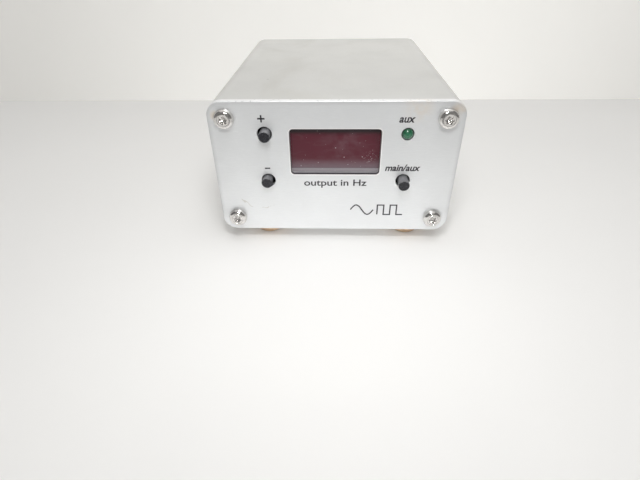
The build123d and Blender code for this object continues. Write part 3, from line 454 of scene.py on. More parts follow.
def tinted_window(finish, tint):
    """Dark red acrylic: glossy, hazy where it is wiped, dusty, with a painted shadow along its top, a
    painted reflection of the lit floor and of the sill along its bottom, and small painted glints.
    """
    face = -63.7
    haze = finish.near((4.0, face, 47.6), 14.0, 1.0) * finish.noise(0.22, 4.0).between(0.35, 0.7)
    streaks = finish.spot((0.3, 1.0, 1.0), turn=(0.0, 0.35, 0.0))
    wipes = finish.noise(0.9, 4.0, streaks).between(0.5, 0.8)
    dust = finish.specks(0.55, 0.15, 0.22).most(finish.specks(1.3, 0.18, 0.07))
    # painted glints: small pale patches near the lower right of the pane
    painted_glints = finish.near((14.5, face, 40.5), 3.4, 0.8) * finish.noise(1.5, 4.0).between(0.53, 0.65)
    height = finish.axis("Z")
    # painted reflection of the lit floor, paler towards the bottom of the pane
    painted_floor_reflection = height.fading(35.0, 40.6)
    # painted reflection of the sill, a pale band along the very bottom
    painted_sill_reflection = height.fading(35.5, 35.8)
    # painted shadow of the opening's top edge along the top of the pane
    painted_top_shadow = height.between(50.4, 51.8)
    tone = finish.coated(
        finish.mix(haze * 0.35, tint, (0.15, 0.085, 0.1)), (wipes * 0.06, (0.22, 0.17, 0.18)),
        (dust.most(painted_glints) * 0.6, (0.46, 0.4, 0.41)), (painted_top_shadow * 0.85, (0.024, 0.019, 0.021)),
        (painted_floor_reflection * 0.36, (0.3, 0.27, 0.31)), (painted_sill_reflection * 0.7, (0.44, 0.42, 0.44)))
    rough = 0.11 + haze * 0.1 + wipes * 0.05 + dust * 0.4 + painted_floor_reflection * 0.05
    return finish.surface(tone, rough, dust * 0.5 + wipes * 0.1, 0.01, 0.4, Coat_Weight=0.1,
                          Coat_Roughness=0.04, IOR=1.49)


def button_cap(finish, tint):
    """Satin black moulding with paler rubbed patches, and a painted sheen that greys its upper side."""
    fine = finish.noise(4.0, 3.0, roughness=0.6)
    rubbed = finish.noise(0.9, 3.0).between(0.45, 0.7)
    # painted sheen on the upper side of the cap
    painted_top_sheen = finish.facing("Z").between(0.05, 0.75) * (0.75 + rubbed * 0.25)
    tone = finish.mix(rubbed * 0.3, tint, shade(tint, 1.2, 0.02))
    tone = finish.mix(painted_top_sheen, tone, (0.19, 0.19, 0.2))
    return finish.surface(tone, 0.26 + fine.swing(0.12) + painted_top_sheen * 0.18, fine, 0.006, 0.5)


def tinted_lamp(finish, tint):
    """A tinted, slightly cloudy lamp lens: painted shade darkens it from its pale nose towards the plate.
    """
    # painted shade: pale at the nose, dark towards the plate
    back = finish.axis("Y").between(-68.0, -66.2)
    cloud = finish.noise(0.9, 2.0)
    tone = finish.mix(back, shade(tint, 1.5), shade(tint, 0.4))
    tone = finish.mix(cloud.between(0.4, 0.7) * 0.25, tone, shade(tint, 1.8))
    return finish.surface(tone, 0.16 + cloud * 0.06, cloud, 0.01, 0.3, Coat_Weight=0.6,
                          Coat_Roughness=0.05, IOR=1.5)


def bumper(finish, tint):
    """Tan elastomer of the stick-on feet: cloudy and matt, with painted shade that darkens it towards the
    sole.
    """
    cloud = finish.noise(0.3, 3.0)
    fine = finish.noise(3.5, 3.0)
    # painted shade towards the sole, where the foot meets the floor
    low = finish.axis("Z").fading(0.2, 3.5)
    tone = finish.shades(tint, cloud, 0.85, 1.2)
    tone = finish.mix(low * 0.35, tone, shade(tint, 0.4))
    return finish.surface(tone, 0.5 + fine.swing(0.2), fine, 0.03, 0.5)


def circuit_board(finish):
    """Green solder mask over copper tracks that run in steps."""
    grid = finish.cells(0.22)
    steps = finish.cells(0.16, distance="CHEBYCHEV")
    tracks = abs((steps * 5.0).fraction() - 0.5).between(0.22, 0.3)
    weave = finish.noise(1.2, 3.0)
    tone = finish.mix(tracks, (0.012, 0.1, 0.035), (0.03, 0.18, 0.065))
    tone = finish.mix(weave.between(0.35, 0.7) * 0.3, tone, (0.01, 0.075, 0.03))
    rough = 0.32 + weave.swing(0.1) + grid * 0.02
    return finish.surface(tone, rough, tracks, 0.04, 0.5, Coat_Weight=0.3)


def banded_resistors(finish):
    """Blue resistors whose colour bands and bare leads repeat along X every fourteen millimetres."""
    place = (finish.axis("X").wrapped(27.0, 13.0) - 15.4) / 9.2
    lead, body = (0.6, 0.58, 0.55), (0.07, 0.22, 0.38)
    brown, black, red = (0.25, 0.1, 0.03), (0.02, 0.02, 0.02), (0.45, 0.03, 0.02)
    tone = finish.bands(place, (
        (0.0, lead), (0.17, body), (0.24, brown), (0.3, body), (0.42, black), (0.48, body),
        (0.56, red), (0.62, body), (0.76, brown), (0.81, body), (0.84, lead)))
    metal = (place < 0.17).most(place > 0.84)
    fine = finish.noise(3.0, 2.0)
    return finish.surface(tone, 0.38 + fine.swing(0.15), fine, 0.01, 0.4, Metallic=metal)


def sleeved_capacitors(finish):
    """Dark blue sleeves with a pale stripe on one side, and a bare aluminium top."""
    height = finish.axis("Z")
    short = finish.axis("X").between(-30.0, -29.9)
    top = height.between(37.4, 37.5).most(short * height.between(32.9, 33.0))
    stripe = (finish.axis("Y") * 0.19).fraction().between(0.84, 0.86)
    fine = finish.noise(2.0, 3.0)
    tone = finish.mix(stripe, (0.015, 0.03, 0.11), (0.45, 0.47, 0.5))
    tone = finish.mix(top, tone, (0.62, 0.62, 0.61))
    return finish.surface(tone, 0.35 + fine.swing(0.15), fine, 0.01, 0.4, Metallic=top)


def printed(finish, tint):
    """Screen-printed ink, a little uneven and matt."""
    uneven = finish.noise(2.6, 3.0)
    tone = finish.mix(uneven.between(0.35, 0.75), tint, shade(tint, 1.5, 0.015))
    return finish.surface(tone, 0.5 + uneven.swing(0.2), uneven, 0.004, 0.3)


def dress(material, *nodes):
    """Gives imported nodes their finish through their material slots."""
    for name in nodes:
        node = frame["nodes"][name]
        if not node.material_slots:
            node.data.materials.append(None)
        for slot in node.material_slots:
            slot.material = material


def dress_slot(make, slot, *values):
    """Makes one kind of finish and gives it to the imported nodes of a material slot."""
    material = make(Finish(slot), *values)
    dress(material, *(node for node, own in SLOT_OF.items() if own == slot))
    return material


# ---- Shapes ----

def new_object(name, data):
    made = bpy.data.objects.new(name, data)
    bpy.context.scene.collection.objects.link(made)
    return made


def mesh_from(name, mesh):
    """Closes a bmesh into mesh data."""
    bmesh.ops.recalc_face_normals(mesh, faces=mesh.faces)
    data = bpy.data.meshes.new(name)
    mesh.to_mesh(data)
    mesh.free()
    return data


def skin(mesh, rings, sides):
    """Faces from each ring of points to the next; a ring of one point is a tip."""
    for near, far in zip(rings, rings[1:]):
        for index in range(sides):
            corners = [near[index % len(near)], near[(index + 1) % len(near)],
                       far[(index + 1) % len(far)], far[index % len(far)]]
            mesh.faces.new(list(dict.fromkeys(corners)))


def turned(profile, sides, lobes):
    """A solid turned about -Y. A point is (radius, distance, lobe): lobe swells a ring to a star."""
    mesh = bmesh.new()
    rings = []
    for radius, along, lobe in profile:
        ring = []
        for index in range(sides if radius else 1):
            angle = 2.0 * math.pi * index / sides
            reach = radius + lobe * math.cos(lobes * angle)
            ring.append(mesh.verts.new((reach * math.cos(angle), -along, reach * math.sin(angle))))
        rings.append(ring)
    skin(mesh, rings, sides)
    return mesh


def screw_profile(sizes):
    """Grooved shank, underside, rounded head, flat, and the star recess with a shallow cone."""
    head, height, flat = sizes.head_radius, sizes.head_height, sizes.head_flat
    shank, tip = sizes.shank_radius, -sizes.shank_length
    recess, depth = sizes.recess_radius, sizes.recess_depth
    pitch, groove = 0.7 * MM, 0.22 * MM
    chamfer, edge = 0.1 * MM, 0.45 * MM
    rim, star = 0.09 * MM, 0.26 * MM
    points = [(0.0, tip, 0.0), (shank * 0.7, tip, 0.0)]
    for index in range(int(sizes.shank_length / pitch)):
        start = tip + (index + 0.35) * pitch
        points += [(shank, start, 0.0), (shank - groove, start + pitch / 2.0, 0.0)]
    points += [(shank * 0.9, 0.0, 0.0), (head - chamfer, 0.0, 0.0), (head, chamfer, 0.0),
               (head, edge, 0.0)]
    steps = 9
    for index in range(1, steps + 1):
        swing = math.pi / 2.0 * index / steps
        points.append((flat + (head - flat) * math.cos(swing) ** 0.9,
                       edge + (height - edge) * math.sin(swing), 0.0))
    points += [(flat - rim, height - rim, 0.0), (flat - 2.0 * rim, height, 0.0),
               (recess + star + 2.0 * rim, height, 0.0), (recess + rim, height, star),
               (recess, height - rim, star), (recess - 0.06 * MM, height - depth * 0.4, star),
               (recess * 0.3, height - depth * 1.1, star * 0.25), (0.0, height - depth * 1.3, 0.0)]
    return points


def stroke(mesh, points, width, height, closed=False):
    """A line of even width through points in XY, mitred, as a thin solid from 0 up. Gives its corners."""
    spots = [Vector(point) for point in points]
    runs = [(end - start).normalized() for start, end in zip(spots, spots[1:] + spots[:1])]
    rails = []
    for index, spot in enumerate(spots):
        first = runs[index - 1] if closed or index else runs[0]
        second = runs[index] if closed or index < len(spots) - 1 else runs[-2]
        tangent = (first + second).normalized()
        across = Vector((-tangent.y, tangent.x))
        across *= width / 2.0 / max(0.4, tangent.dot(first))
        rails.append([mesh.verts.new((*(spot + across * side), level))
                      for side, level in ((1, 0.0), (-1, 0.0), (-1, height), (1, height))])
    skin(mesh, rails + rails[:1] if closed else rails, 4)
    if not closed:
        mesh.faces.new(rails[0])
        mesh.faces.new(rails[-1])
    return [corner for rail in rails for corner in rail]


def words(mesh, text, left, right, base, rise, height, slant, weight):
    """Words as thin solids in XY, from left to right, with capitals rise tall on a base line."""
    capital_share = 0.73  # of the font's size
    curve = bpy.data.curves.new(text, "FONT")
    curve.body, curve.shear, curve.offset = text, slant, weight
    curve.extrude, curve.resolution_u = 0.05, 5
    flat = evaluated_mesh(new_object(text, curve))
    bpy.data.curves.remove(curve)
    xs = [vertex.co.x for vertex in flat.vertices]
    zs = [vertex.co.z for vertex in flat.vertices]
    scale = Matrix.Diagonal(((right - left) / (max(xs) - min(xs)), rise / capital_share,
                             height / (max(zs) - min(zs)), 1.0))
    flat.transform(Matrix.Translation((left, base, 0.0)) @ scale
                   @ Matrix.Translation((-min(xs), 0.0, -min(zs))))
    start = len(mesh.verts)
    mesh.from_mesh(flat)
    bpy.data.meshes.remove(flat)
    mesh.verts.ensure_lookup_table()
    bmesh.ops.remove_doubles(mesh, verts=mesh.verts[start:], dist=1e-4)


def evaluated_mesh(holder):
    """The plain mesh that an object makes; the object itself goes."""
    graph = bpy.context.evaluated_depsgraph_get()
    data = bpy.data.meshes.new_from_object(holder.evaluated_get(graph), depsgraph=graph)
    bpy.data.objects.remove(holder)
    return data


def finished(name, data, material, body, smooth=0.0):
    """A piece that rides on a body; edges under the smooth angle, in degrees, are shaded over."""
    if not data.materials:
        data.materials.append(material)
    if smooth:
        data.shade_smooth()
        data.set_sharp_from_angle(angle=math.radians(smooth))
    piece = new_object(name, data)
    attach(piece, body)
    return piece


def on_plate(face, outward, low=0.0):
    """Takes drawings in XY, in millimetres, onto a plate: outward is -1 in front and 1 behind."""
    raised = Matrix.Rotation(math.pi / 2.0, 4, "X") @ Matrix.Scale(MM, 4)
    turn = Matrix.Rotation(0.0 if outward < 0 else math.pi, 4, "Z")
    return Matrix.Translation((0.0, face - outward * INK_SUNK, low)) @ turn @ raised


def print_on(name, ink, height, front, texts=(), lines=(), width=0.0):
    """One print on the front or rear plate, in millimetres from its middle and its lower edge.

    A text is (words, left, right, base, capitals' rise, slant, weight), and a line is its points.
    """
    sheet = bmesh.new()
    for text, left, right, base, rise, slant, weight in texts:
        words(sheet, text, left, right, base, rise, height / MM, slant, weight)
    for points in lines:
        stroke(sheet, points, width, height / MM)
    face, outward = (FRONT_FACE, -1) if front else (BACK_FACE, 1)
    sheet.transform(on_plate(face, outward, PLATE_LOW.z))
    finished(name, mesh_from(name, sheet), ink, "case")


# ---- Geometry Nodes ----

def geometry_tree(name, *floats, **others):
    """The sheet of a Geometry Nodes tree with named inputs, and a wire for each input."""
    tree = bpy.data.node_groups.new(name, "GeometryNodeTree")
    kinds = {**dict.fromkeys(floats, "Float"), **others, "Finish": "Material"}
    tree.interface.new_socket("Geometry", in_out="OUTPUT", socket_type="NodeSocketGeometry")
    for label, kind in kinds.items():
        tree.interface.new_socket(label, in_out="INPUT", socket_type="NodeSocket" + kind)
    sheet = NodeSheet(tree)
    source = sheet.node("NodeGroupInput").socket.node
    return sheet, {label: Wire(sheet, source.outputs[label]) for label in kinds}


def close_tree(sheet, geometry, finish):
    """Makes a tree's instances real and gives them their material."""
    solid = sheet.node("GeometryNodeRealizeInstances", {"Geometry": geometry})
    made = sheet.node("GeometryNodeSetMaterial", {"Geometry": solid, "Material": finish})
    sheet.node("NodeGroupOutput", {"Geometry": made})
    return sheet.tree


def grown(name, tree, values):
    """Runs a tree with the given inputs and returns the plain mesh that it makes."""
    holder = new_object(name, bpy.data.meshes.new(name))
    modifier = holder.modifiers.new(name, "NODES")
    modifier.node_group = tree
    keys = {item.name: item.identifier for item in tree.interface.items_tree if item.in_out == "INPUT"}
    for label, value in values.items():
        modifier[keys[label]] = value
    data = evaluated_mesh(holder)
    data.name = name
    return data


def screw_tree():
    """Four screws at the corners of a plate, each stopped at its own angle."""
    sheet, wires = geometry_tree("plate_screws", "Spread Across", "Spread Up", "Middle Height",
                                 "Face", "Facing", Screw="Object", Seed="Int")
    grid = sheet.node("GeometryNodeMeshGrid", {
        "Size X": wires["Spread Across"] * 2.0, "Size Y": wires["Spread Up"] * 2.0,
        "Vertices X": 2, "Vertices Y": 2})
    here = sheet.node("GeometryNodeInputPosition")
    up = sheet.axis("Y", here) + wires["Middle Height"]
    corners = sheet.node("GeometryNodeSetPosition", {
        "Geometry": grid, "Position": sheet.point(sheet.axis("X", here), wires["Face"], up)})
    stop = sheet.node("FunctionNodeRandomValue", {2: 0.0, 3: 2.0 * math.pi, "Seed": wires["Seed"]}, 1,
                      data_type="FLOAT")
    turn = sheet.node("FunctionNodeEulerToRotation", {"Euler": sheet.point(0.0, stop, wires["Facing"])})
    screw = sheet.node("GeometryNodeObjectInfo", {"Object": wires["Screw"]}, "Geometry")
    placed = sheet.node("GeometryNodeInstanceOnPoints", {
        "Points": corners, "Instance": screw, "Rotation": turn})
    return close_tree(sheet, placed, wires["Finish"])


def wound(sheet, wires, run, turns, thickness, steps, sides, across=0.0):
    """A wire or ridge wound at Radius about an axis along Y, from Start on, at Height."""
    helix = sheet.node("GeometryNodeCurveSpiral", {
        "Resolution": steps, "Rotations": turns, "Start Radius": wires["Radius"],
        "End Radius": wires["Radius"], "Height": run})
    section = sheet.node("GeometryNodeCurvePrimitiveCircle", {"Resolution": sides, "Radius": thickness})
    swept = sheet.node("GeometryNodeCurveToMesh", {
        "Curve": helix, "Profile Curve": section, "Fill Caps": True})
    return sheet.node("GeometryNodeTransform", {
        "Geometry": swept, "Rotation": (-math.pi / 2.0, 0.0, 0.0),
        "Translation": sheet.point(across, wires["Start"], wires["Height"])})


def thread_tree():
    """A fine screw thread round two necks: a ridge swept along a helix."""
    sheet, wires = geometry_tree("neck_threads", "Radius", "Pitch", "Start", "End", "Height",
                                 "First", "Second")
    run = wires["End"] - wires["Start"]
    turns = run / wires["Pitch"]
    ridge = wound(sheet, wires, run, turns, wires["Pitch"] * 0.3, steps=32, sides=4)
    both = sheet.node("GeometryNodeJoinGeometry")
    for label in ("First", "Second"):
        moved = sheet.node("GeometryNodeTransform", {
            "Geometry": ridge, "Translation": sheet.point(wires[label])})
        sheet.tree.links.new(moved.socket, both.socket.node.inputs[0])
    return close_tree(sheet, both, wires["Finish"])


def spring_tree():
    """A round wire wound about an axis along Y."""
    sheet, wires = geometry_tree("return_spring", "Radius", "Wire", "Turns", "Length", "Across",
                                 "Start", "Height")
    coil = wound(sheet, wires, wires["Length"], wires["Turns"], wires["Wire"], steps=28, sides=10,
                 across=wires["Across"])
    return close_tree(sheet, coil, wires["Finish"])


# ---- Studio ----

def card(name, corners, material):
    data = bpy.data.meshes.new(name)
    data.from_pydata(corners, [], [range(len(corners))])
    data.materials.append(material)
    made = new_object(name, data)
    return made


def level(half, front, back, z):
    """The corners of a lying card."""
    return [(-half, front, z), (half, front, z), (half, back, z), (-half, back, z)]


def upright(start, end, low, high):
    """The corners of a standing card over a line on the floor."""
    return [(*start, low), (*end, low), (*end, high), (*start, high)]


def pale_card(name, tint, scale):
    """The finish of a card and its faintly cloudy tone."""
    finish = Finish(name)
    return finish, finish.shades(tint, finish.noise(scale, 2.0), 0.985, 1.0)


def lay_floor(tint, reach):
    finish, tone = pale_card("floor_card", tint, 0.006)
    far = finish.away_from((0.0, 0.0, 0.0)).between(320.0, 1100.0)
    glow = finish.seen_directly() * far * 0.55
    material = finish.surface(tone, 0.6, Emission_Color=tint, Emission_Strength=glow)
    card("floor", level(reach, -reach, reach, 0.0), material)


def stand_wall(tint, reach, y, top):
    """A card that shows only its front, so that it doesn't hide the object from behind; seen directly it
    glows, with a painted pool of light about 40 mm right of the middle.
    """
    finish, tone = pale_card("wall_card", tint, 0.005)
    # painted pool of light on the wall, brightest about 40 mm right of the middle
    painted_light_pool = abs(finish.axis("X") - 40.0).fading(0.0, 340.0)
    beyond = abs(finish.axis("X")).between(320.0, 1300.0)
    glow = finish.seen_directly() * (0.05 + painted_light_pool * 0.186 + beyond * 0.5)
    front = finish.node("ShaderNodeBsdfPrincipled", {
        "Base Color": tone, "Roughness": 1.0, "Specular IOR Level": 0.0,
        "Emission Color": opaque(tint), "Emission Strength": glow})
    clear = finish.node("ShaderNodeBsdfTransparent")
    behind = finish.node("ShaderNodeNewGeometry", output=6)
    finish.output(finish.node("ShaderNodeMixShader", {0: behind, 1: front, 2: clear}))
    card("wall", upright((-reach, y), (reach, y), 0.0, top), finish.material)


def set_flags(tint):
    """Cards round the front that only reflections show, so that bright metal has a dark side."""
    dark = Finish("dark_card").surface((0.26, 0.26, 0.26), 0.9)
    finish = Finish("shadow_card")
    depth = finish.axis("Y").fading(-156.0, -138.0) * abs(finish.axis("X")).fading(46.0, 62.0)
    soft = finish.surface(finish.mix(depth, tint, (0.32, 0.32, 0.32)), 0.9)
    near, far, back, side, half, low, high = -0.136, -0.42, 0.1, 0.7, 0.064, 0.0006, 1.1
    flags = [card("lying_flag", level(half, far, near, low), soft)]
    bends = [(-side, back), (-side, far), (side, far), (side, back)]
    for index, (start, end) in enumerate(zip(bends, bends[1:])):
        flags.append(card("standing_flag_" + str(index), upright(start, end, low, high), dark))
    for flag in flags:
        flag.visible_camera = flag.visible_diffuse = False
        flag.visible_shadow = flag.visible_transmission = False


# Power setting, width, depth, spread in degrees, place, target, and whether reflections show it.
LAMPS = (("key", 0.044, 0.026, 110.0, (0.0, -0.1765, 0.1835), (0.0, -0.0665, 0.0355), True),
         ("overhead", 0.6, 0.6, 180.0, (0.06, -0.12, 0.85), (0.0, 0.04, 0.03), False),
         ("front", 0.8, 0.5, 180.0, (0.06, -0.66, 0.66), (0.0, 0.0, 0.03), True),
         ("bounce", 0.12, 0.06, 180.0, (0.0, -0.0985, 0.0012), (0.0, -0.0985, 1.0), False),
         ("under", 0.09, 0.12, 180.0, (0.0, -0.005, 0.0062), (0.0, -0.005, 0.0), True))


def hang_lamps(studio):
    for name, width, depth, spread, place, target, reflected in LAMPS:
        lamp = bpy.data.lights.new(name + "_light", "AREA")
        lamp.shape = "RECTANGLE"
        lamp.energy = getattr(studio, name)
        lamp.size, lamp.size_y, lamp.spread = width, depth, math.radians(spread)
        holder = new_object(name + "_light", lamp)
        holder.location = place
        aim = Vector(target) - Vector(place)
        holder.rotation_euler = aim.to_track_quat("-Z", "Y").to_euler()
        holder.visible_camera = False
        holder.visible_glossy = reflected


def fill_room(sky, backdrop):
    """Even light from all round, with a brighter backdrop where the room itself is seen."""
    world = bpy.data.worlds.new("room")
    world.use_nodes = True
    sheet = NodeSheet(world.node_tree)
    sheet.tree.nodes.clear()
    strength = sheet.seen_directly() * (backdrop - sky) + sky
    glow = sheet.node("ShaderNodeBackground", {"Color": (1.0, 0.99, 0.97, 1.0), "Strength": strength})
    sheet.node("ShaderNodeOutputWorld", {"Surface": glow})
    bpy.context.scene.world = world


def aim_camera(lens):
    """A camera above the front edge that looks down at it, with its turns in degrees."""
    place = Matrix.Translation((-0.0002, -0.2232, 0.1129))
    yaw, tip, roll = (Matrix.Rotation(math.radians(angle), 4, axis)
                      for angle, axis in ((2.34, "Z"), (54.3, "X"), (-0.89, "Z")))
    camera = new_object("camera", bpy.data.cameras.new("camera"))
    camera.matrix_world = place @ yaw @ tip @ roll
    camera.data.sensor_width, camera.data.lens = 36.0, lens
    camera.data.clip_start, camera.data.clip_end = 0.01, 10.0
    bpy.context.scene.camera = camera


# ---- Operators ----

class GENERATOR_OT_studio(bpy.types.Operator):
    """Lays the floor, stands the wall and sets the lights and the camera"""
    bl_idname = "generator.studio"
    bl_label = "Studio"

    def execute(self, context):
        colours = context.scene.generator_colours
        studio = context.scene.generator_studio
        lay_floor(colours.floor, reach=2.0)
        stand_wall(colours.wall, reach=2.0, y=studio.wall_distance, top=1.5)
        set_flags(colours.floor)
        hang_lamps(studio)
        fill_room(studio.sky, studio.backdrop)
        aim_camera(studio.lens)
        context.scene.view_settings.view_transform = "Standard"
        return {"FINISHED"}


class GENERATOR_OT_case(bpy.types.Operator):
    """Finishes the extruded case, the plates and the feet"""
    bl_idname = "generator.case"
    bl_label = "Case, plates and feet"

    def execute(self, context):
        colours = context.scene.generator_colours
        # node, material, colour, grain's axis, metallic, roughness, marks with painted light
        for node, name, *values in (
                ("case_tube", "case_aluminium", colours.tube, "Y", 0.6, 0.42, tube_marks),
                ("front_panel", "front_plate_aluminium", colours.plate, "X", 0.5, 0.38, front_plate_marks),
                ("rear_panel", "rear_plate_aluminium", colours.plate, "X", 0.5, 0.38)):
            dress(anodised(Finish(name), *values), node)
        dress_slot(bumper, "foot_rubber", colours.foot)
        return {"FINISHED"}


class GENERATOR_OT_screws(bpy.types.Operator):
    """Turns one pan-head screw with a star recess and sets four of it in each plate"""
    bl_idname = "generator.screws"
    bl_label = "Plate screws"

    def execute(self, context):
        sizes = context.scene.generator_sizes
        steel = plated(Finish("screw_steel"), context.scene.generator_colours.steel, roughness=0.16)
        shape = turned(screw_profile(sizes), sides=48, lobes=6)
        one = bpy.data.objects.new("one_screw", mesh_from("one_screw", shape))
        tree = screw_tree()
        for name, node, face, facing in (("front_screws", "front_panel_screws", FRONT_FACE, 0.0),
                                         ("rear_screws", "rear_panel_screws", BACK_FACE, math.pi)):
            data = grown(name, tree, {
                "Screw": one, "Spread Across": sizes.screw_spread_x, "Spread Up": sizes.screw_spread_z,
                "Middle Height": CASE_MIDDLE, "Face": face, "Facing": facing,
                "Seed": sizes.screw_seed, "Finish": steel})
            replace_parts(finished(name, data, steel, "case", smooth=40.0), node)
        bpy.data.objects.remove(one)
        dress(steel, "bracket_screws", "regulator_screw")
        return {"FINISHED"}


class GENERATOR_OT_legends(bpy.types.Operator):
    """Prints the generic legends and the wave marks on both plates"""
    bl_idname = "generator.legends"
    bl_label = "Legends"

    def execute(self, context):
        scene = context.scene
        black = printed(Finish("legend_ink"), scene.generator_colours.ink)
        height = scene.generator_sizes.ink_height + INK_SUNK
        plus_and_minus = ([(-30.25, 51.3), (-27.35, 51.3)], [(-28.8, 49.85), (-28.8, 52.75)],
                          [(-29.1, 30.3), (-26.9, 30.3)])
        print_on("front_legends", black, height, True, (
            ("aux", 24.6, 30.8, 49.8, 3.05, 0.22, 0.0282),
            ("main/aux", 20.7, 35.2, 29.3, 2.9, 0.22, 0.0282),
            ("output in Hz", -13.0, 13.5, 22.3, 3.05, 0.0, 0.015)), plus_and_minus, 0.62)
        for name, points in self.waves():
            print_on(name, black, height, True, lines=[points], width=0.6)
        direct_current = ([(32.6, 12.8), (35.4, 12.8)], [(32.6, 11.9), (33.3, 11.9)],
                          [(33.65, 11.9), (34.35, 11.9)], [(34.7, 11.9), (35.4, 11.9)])
        print_on("rear_legends", black, height, False, (
            ("out", -33.0, -27.0, 33.6, 2.6, 0.0, 0.016),
            ("in", -7.6, -4.4, 33.6, 2.6, 0.0, 0.016),
            ("12 V", 24.1, 31.1, 11.2, 2.6, 0.0, 0.016)), direct_current, 0.35)
        return {"FINISHED"}

    @staticmethod
    def waves():
        """One round and one square wave, as on any such instrument."""
        middle, swing, steps = 10.4, 2.4, 40
        low, high = middle - swing, middle + swing
        round_wave = [(7.0 + 10.0 * step / steps, middle + swing * math.sin(2.0 * math.pi * step / steps))
                      for step in range(steps + 1)]
        square_wave = [(18.8, low), (18.8, high), (21.6, high), (21.6, low), (24.4, low),
                       (24.4, high), (27.2, high), (27.2, low), (30.0, low)]
        return ("round_wave_mark", round_wave), ("square_wave_mark", square_wave)


class GENERATOR_OT_display(bpy.types.Operator):
    """Finishes the tinted window, the digits behind it and the lamp"""
    bl_idname = "generator.display"
    bl_label = "Display and lamp"

    def execute(self, context):
        colours = context.scene.generator_colours
        dress_slot(tinted_window, "window_acrylic", colours.window)
        dress_slot(tinted_lamp, "lamp_green", colours.lamp)
        dress_slot(moulded, "tape_black", (0.012, 0.012, 0.013), 0.6)
        dress_slot(moulded, "display_black", (0.03, 0.03, 0.032), 0.35)
        dress_slot(moulded, "segment_white", (0.62, 0.6, 0.58), 0.4)
        return {"FINISHED"}


class GENERATOR_OT_buttons(bpy.types.Operator):
    """Finishes the three push buttons and winds the return springs behind them"""
    bl_idname = "generator.buttons"
    bl_label = "Push buttons"

    def execute(self, context):
        dress_slot(button_cap, "cap_black", context.scene.generator_colours.cap)
        dress_slot(moulded, "plunger_white", (0.66, 0.64, 0.58), 0.4)
        steel = plated(Finish("spring_steel"), (0.52, 0.51, 0.5), roughness=0.28)
        tree = spring_tree()
        for button in ("increase", "decrease", "source"):
            self.wind_spring(button, tree, steel)
        return {"FINISHED"}

    @staticmethod
    def wind_spring(button, tree, steel):
        """A return spring behind its button."""
        name, node, joint = button + "_spring_coil", button + "_return_spring", button + "_button_press"
        wire = 0.16 * MM
        travel = JOINTS[joint]["range_m"][1]
        low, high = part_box(node)
        middle = (low + high) / 2.0
        long = high.y - low.y
        data = grown(name, tree, {
            "Radius": (high.x - low.x) / 2.0 - wire, "Wire": wire, "Turns": 5.0,
            "Length": long - 2.0 * wire, "Across": middle.x, "Start": low.y + wire,
            "Height": middle.z, "Finish": steel})
        coil = finished(name, data, steel, "case", smooth=50.0)
        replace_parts(coil, node)
        1.0 - travel / long
        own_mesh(coil)


class GENERATOR_OT_boards(bpy.types.Operator):
    """Finishes the two circuit boards and what stands on them"""
    bl_idname = "generator.boards"
    bl_label = "Boards and components"

    def execute(self, context):
        # kind, slot, and for a moulding its colour, roughness and texture
        for make, slot, *values in (
                (circuit_board, "board_green"),
                (banded_resistors, "resistor_blue"),
                (sleeved_capacitors, "sleeve_blue"),
                (plated, "tinned_pins", (0.66, 0.65, 0.62), 0.3),
                (anodised, "bracket_aluminium", (0.55, 0.55, 0.55), "Z", 0.9, 0.35),
                (moulded, "moulding_black", (0.018, 0.018, 0.02), 0.45),
                (moulded, "chip_black", (0.025, 0.025, 0.027), 0.5, 5.0),
                (moulded, "sink_black", (0.02, 0.02, 0.021), 0.5, 6.0),
                (moulded, "film_red", (0.38, 0.035, 0.02), 0.22),
                (moulded, "trimmer_blue", (0.02, 0.1, 0.36), 0.35)):
            dress_slot(make, slot, *values)
        return {"FINISHED"}


class GENERATOR_OT_connectors(bpy.types.Operator):
    """Finishes the sockets behind and cuts the thread on their necks"""
    bl_idname = "generator.connectors"
    bl_label = "Connectors"

    def execute(self, context):
        sizes = context.scene.generator_sizes
        nickel = dress_slot(plated, "nickel_plate", context.scene.generator_colours.nickel, 0.22, "Y")
        dress_slot(plated, "contact_gold", (0.8, 0.56, 0.22), 0.25)
        dress_slot(moulded, "insulator_white", (0.72, 0.71, 0.68), 0.35)
        dress_slot(moulded, "lead_insulation", (0.3, 0.02, 0.02), 0.4)
        barrel, sunk = 9.2 * MM, 0.1 * MM
        output, trigger = middle_of("output_connector_shell"), middle_of("trigger_connector_shell")
        data = grown("neck_threads", thread_tree(), {
            "Radius": sizes.thread_radius - sunk, "Pitch": sizes.thread_pitch, "Start": BACK_FACE,
            "End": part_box("output_connector_shell")[1].y - barrel, "Height": output.z,
            "First": output.x, "Second": trigger.x, "Finish": nickel})
        finished("neck_threads", data, nickel, "case", smooth=50.0)
        return {"FINISHED"}


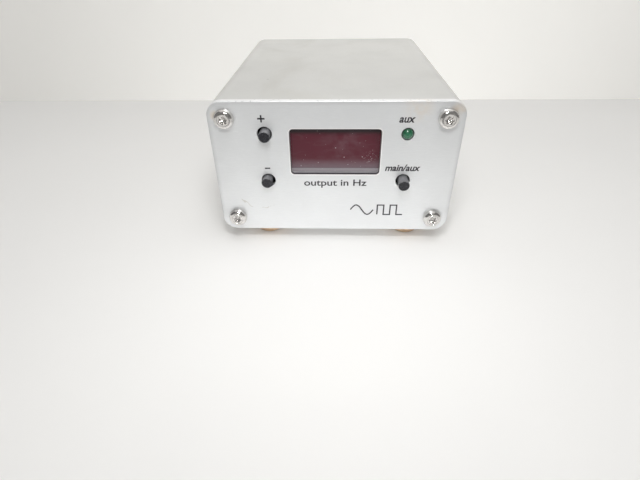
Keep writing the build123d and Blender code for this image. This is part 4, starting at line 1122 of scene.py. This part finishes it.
class GENERATOR_OT_rocker(bpy.types.Operator):
    """Finishes the power rocker and prints its on and off marks"""
    bl_idname = "generator.rocker"
    bl_label = "Power rocker"

    def execute(self, context):
        height = context.scene.generator_sizes.ink_height + INK_SUNK
        dress_slot(moulded, "rocker_black", (0.022, 0.022, 0.024), 0.28, 2.0, 0.2)
        joint = JOINTS["power_rocker_tilt"]
        tilt = math.radians(joint["range_deg"][1] / 2.0)
        dip, spread, half, tall, width = 2.5, 4.7, 1.5, 1.9, 0.5
        ring = [(half * math.cos(step * math.pi / 16), tall * math.sin(step * math.pi / 16))
                for step in range(32)]
        bar = [(0.0, -tall), (0.0, tall)]
        sheet = bmesh.new()
        for points, closed, side in ((ring, True, 1), (bar, False, -1)):
            corners = stroke(sheet, points, width, height / MM, closed)
            place = Vector((0.0, dip + spread * math.tan(tilt), side * spread)) * MM
            turn = Matrix.Rotation(-side * tilt, 4, "X") @ on_plate(0.0, 1)
            bmesh.ops.transform(sheet, matrix=Matrix.Translation(place) @ turn, verts=corners)
        sheet.transform(Matrix.Translation(joint["pos_m"]) @ Matrix.Rotation(-tilt, 4, "X"))
        pale = printed(Finish("rocker_ink"), (0.75, 0.75, 0.73))
        finished("rocker_marks", mesh_from("rocker_marks", sheet), pale, "power_rocker")
        return {"FINISHED"}


class GENERATOR_PT_panel(bpy.types.Panel):
    """Everything that the generator is made of, in the sidebar"""
    bl_idname = "GENERATOR_PT_panel"
    bl_label = "Function generator"
    bl_space_type = "VIEW_3D"
    bl_region_type = "UI"
    bl_category = "Generator"

    def draw(self, context):
        for operator in OPERATORS:
            self.layout.operator(operator.bl_idname)
        for group_name, group in GROUPS.items():
            box = self.layout.box()
            for name in group.__annotations__:
                box.prop(getattr(context.scene, group_name), name)


OPERATORS = (GENERATOR_OT_studio, GENERATOR_OT_case, GENERATOR_OT_screws, GENERATOR_OT_legends,
             GENERATOR_OT_display, GENERATOR_OT_buttons, GENERATOR_OT_boards,
             GENERATOR_OT_connectors, GENERATOR_OT_rocker)
GROUPS = {"generator_sizes": GeneratorSizes, "generator_colours": GeneratorColours,
          "generator_studio": GeneratorStudio}
KINDS = (*GROUPS.values(), *OPERATORS, GENERATOR_PT_panel)


def register():
    for kind in KINDS:
        bpy.utils.register_class(kind)
    for name, kind in GROUPS.items():
        setattr(bpy.types.Scene, name, PointerProperty(type=kind))


def unregister():
    for name in GROUPS:
        delattr(bpy.types.Scene, name)
    for kind in reversed(KINDS):
        bpy.utils.unregister_class(kind)


def main():
    register()
    for operator in OPERATORS:
        group, name = operator.bl_idname.split(".")
        getattr(getattr(bpy.ops, group), name)()


if __name__ == "__main__":
    main()
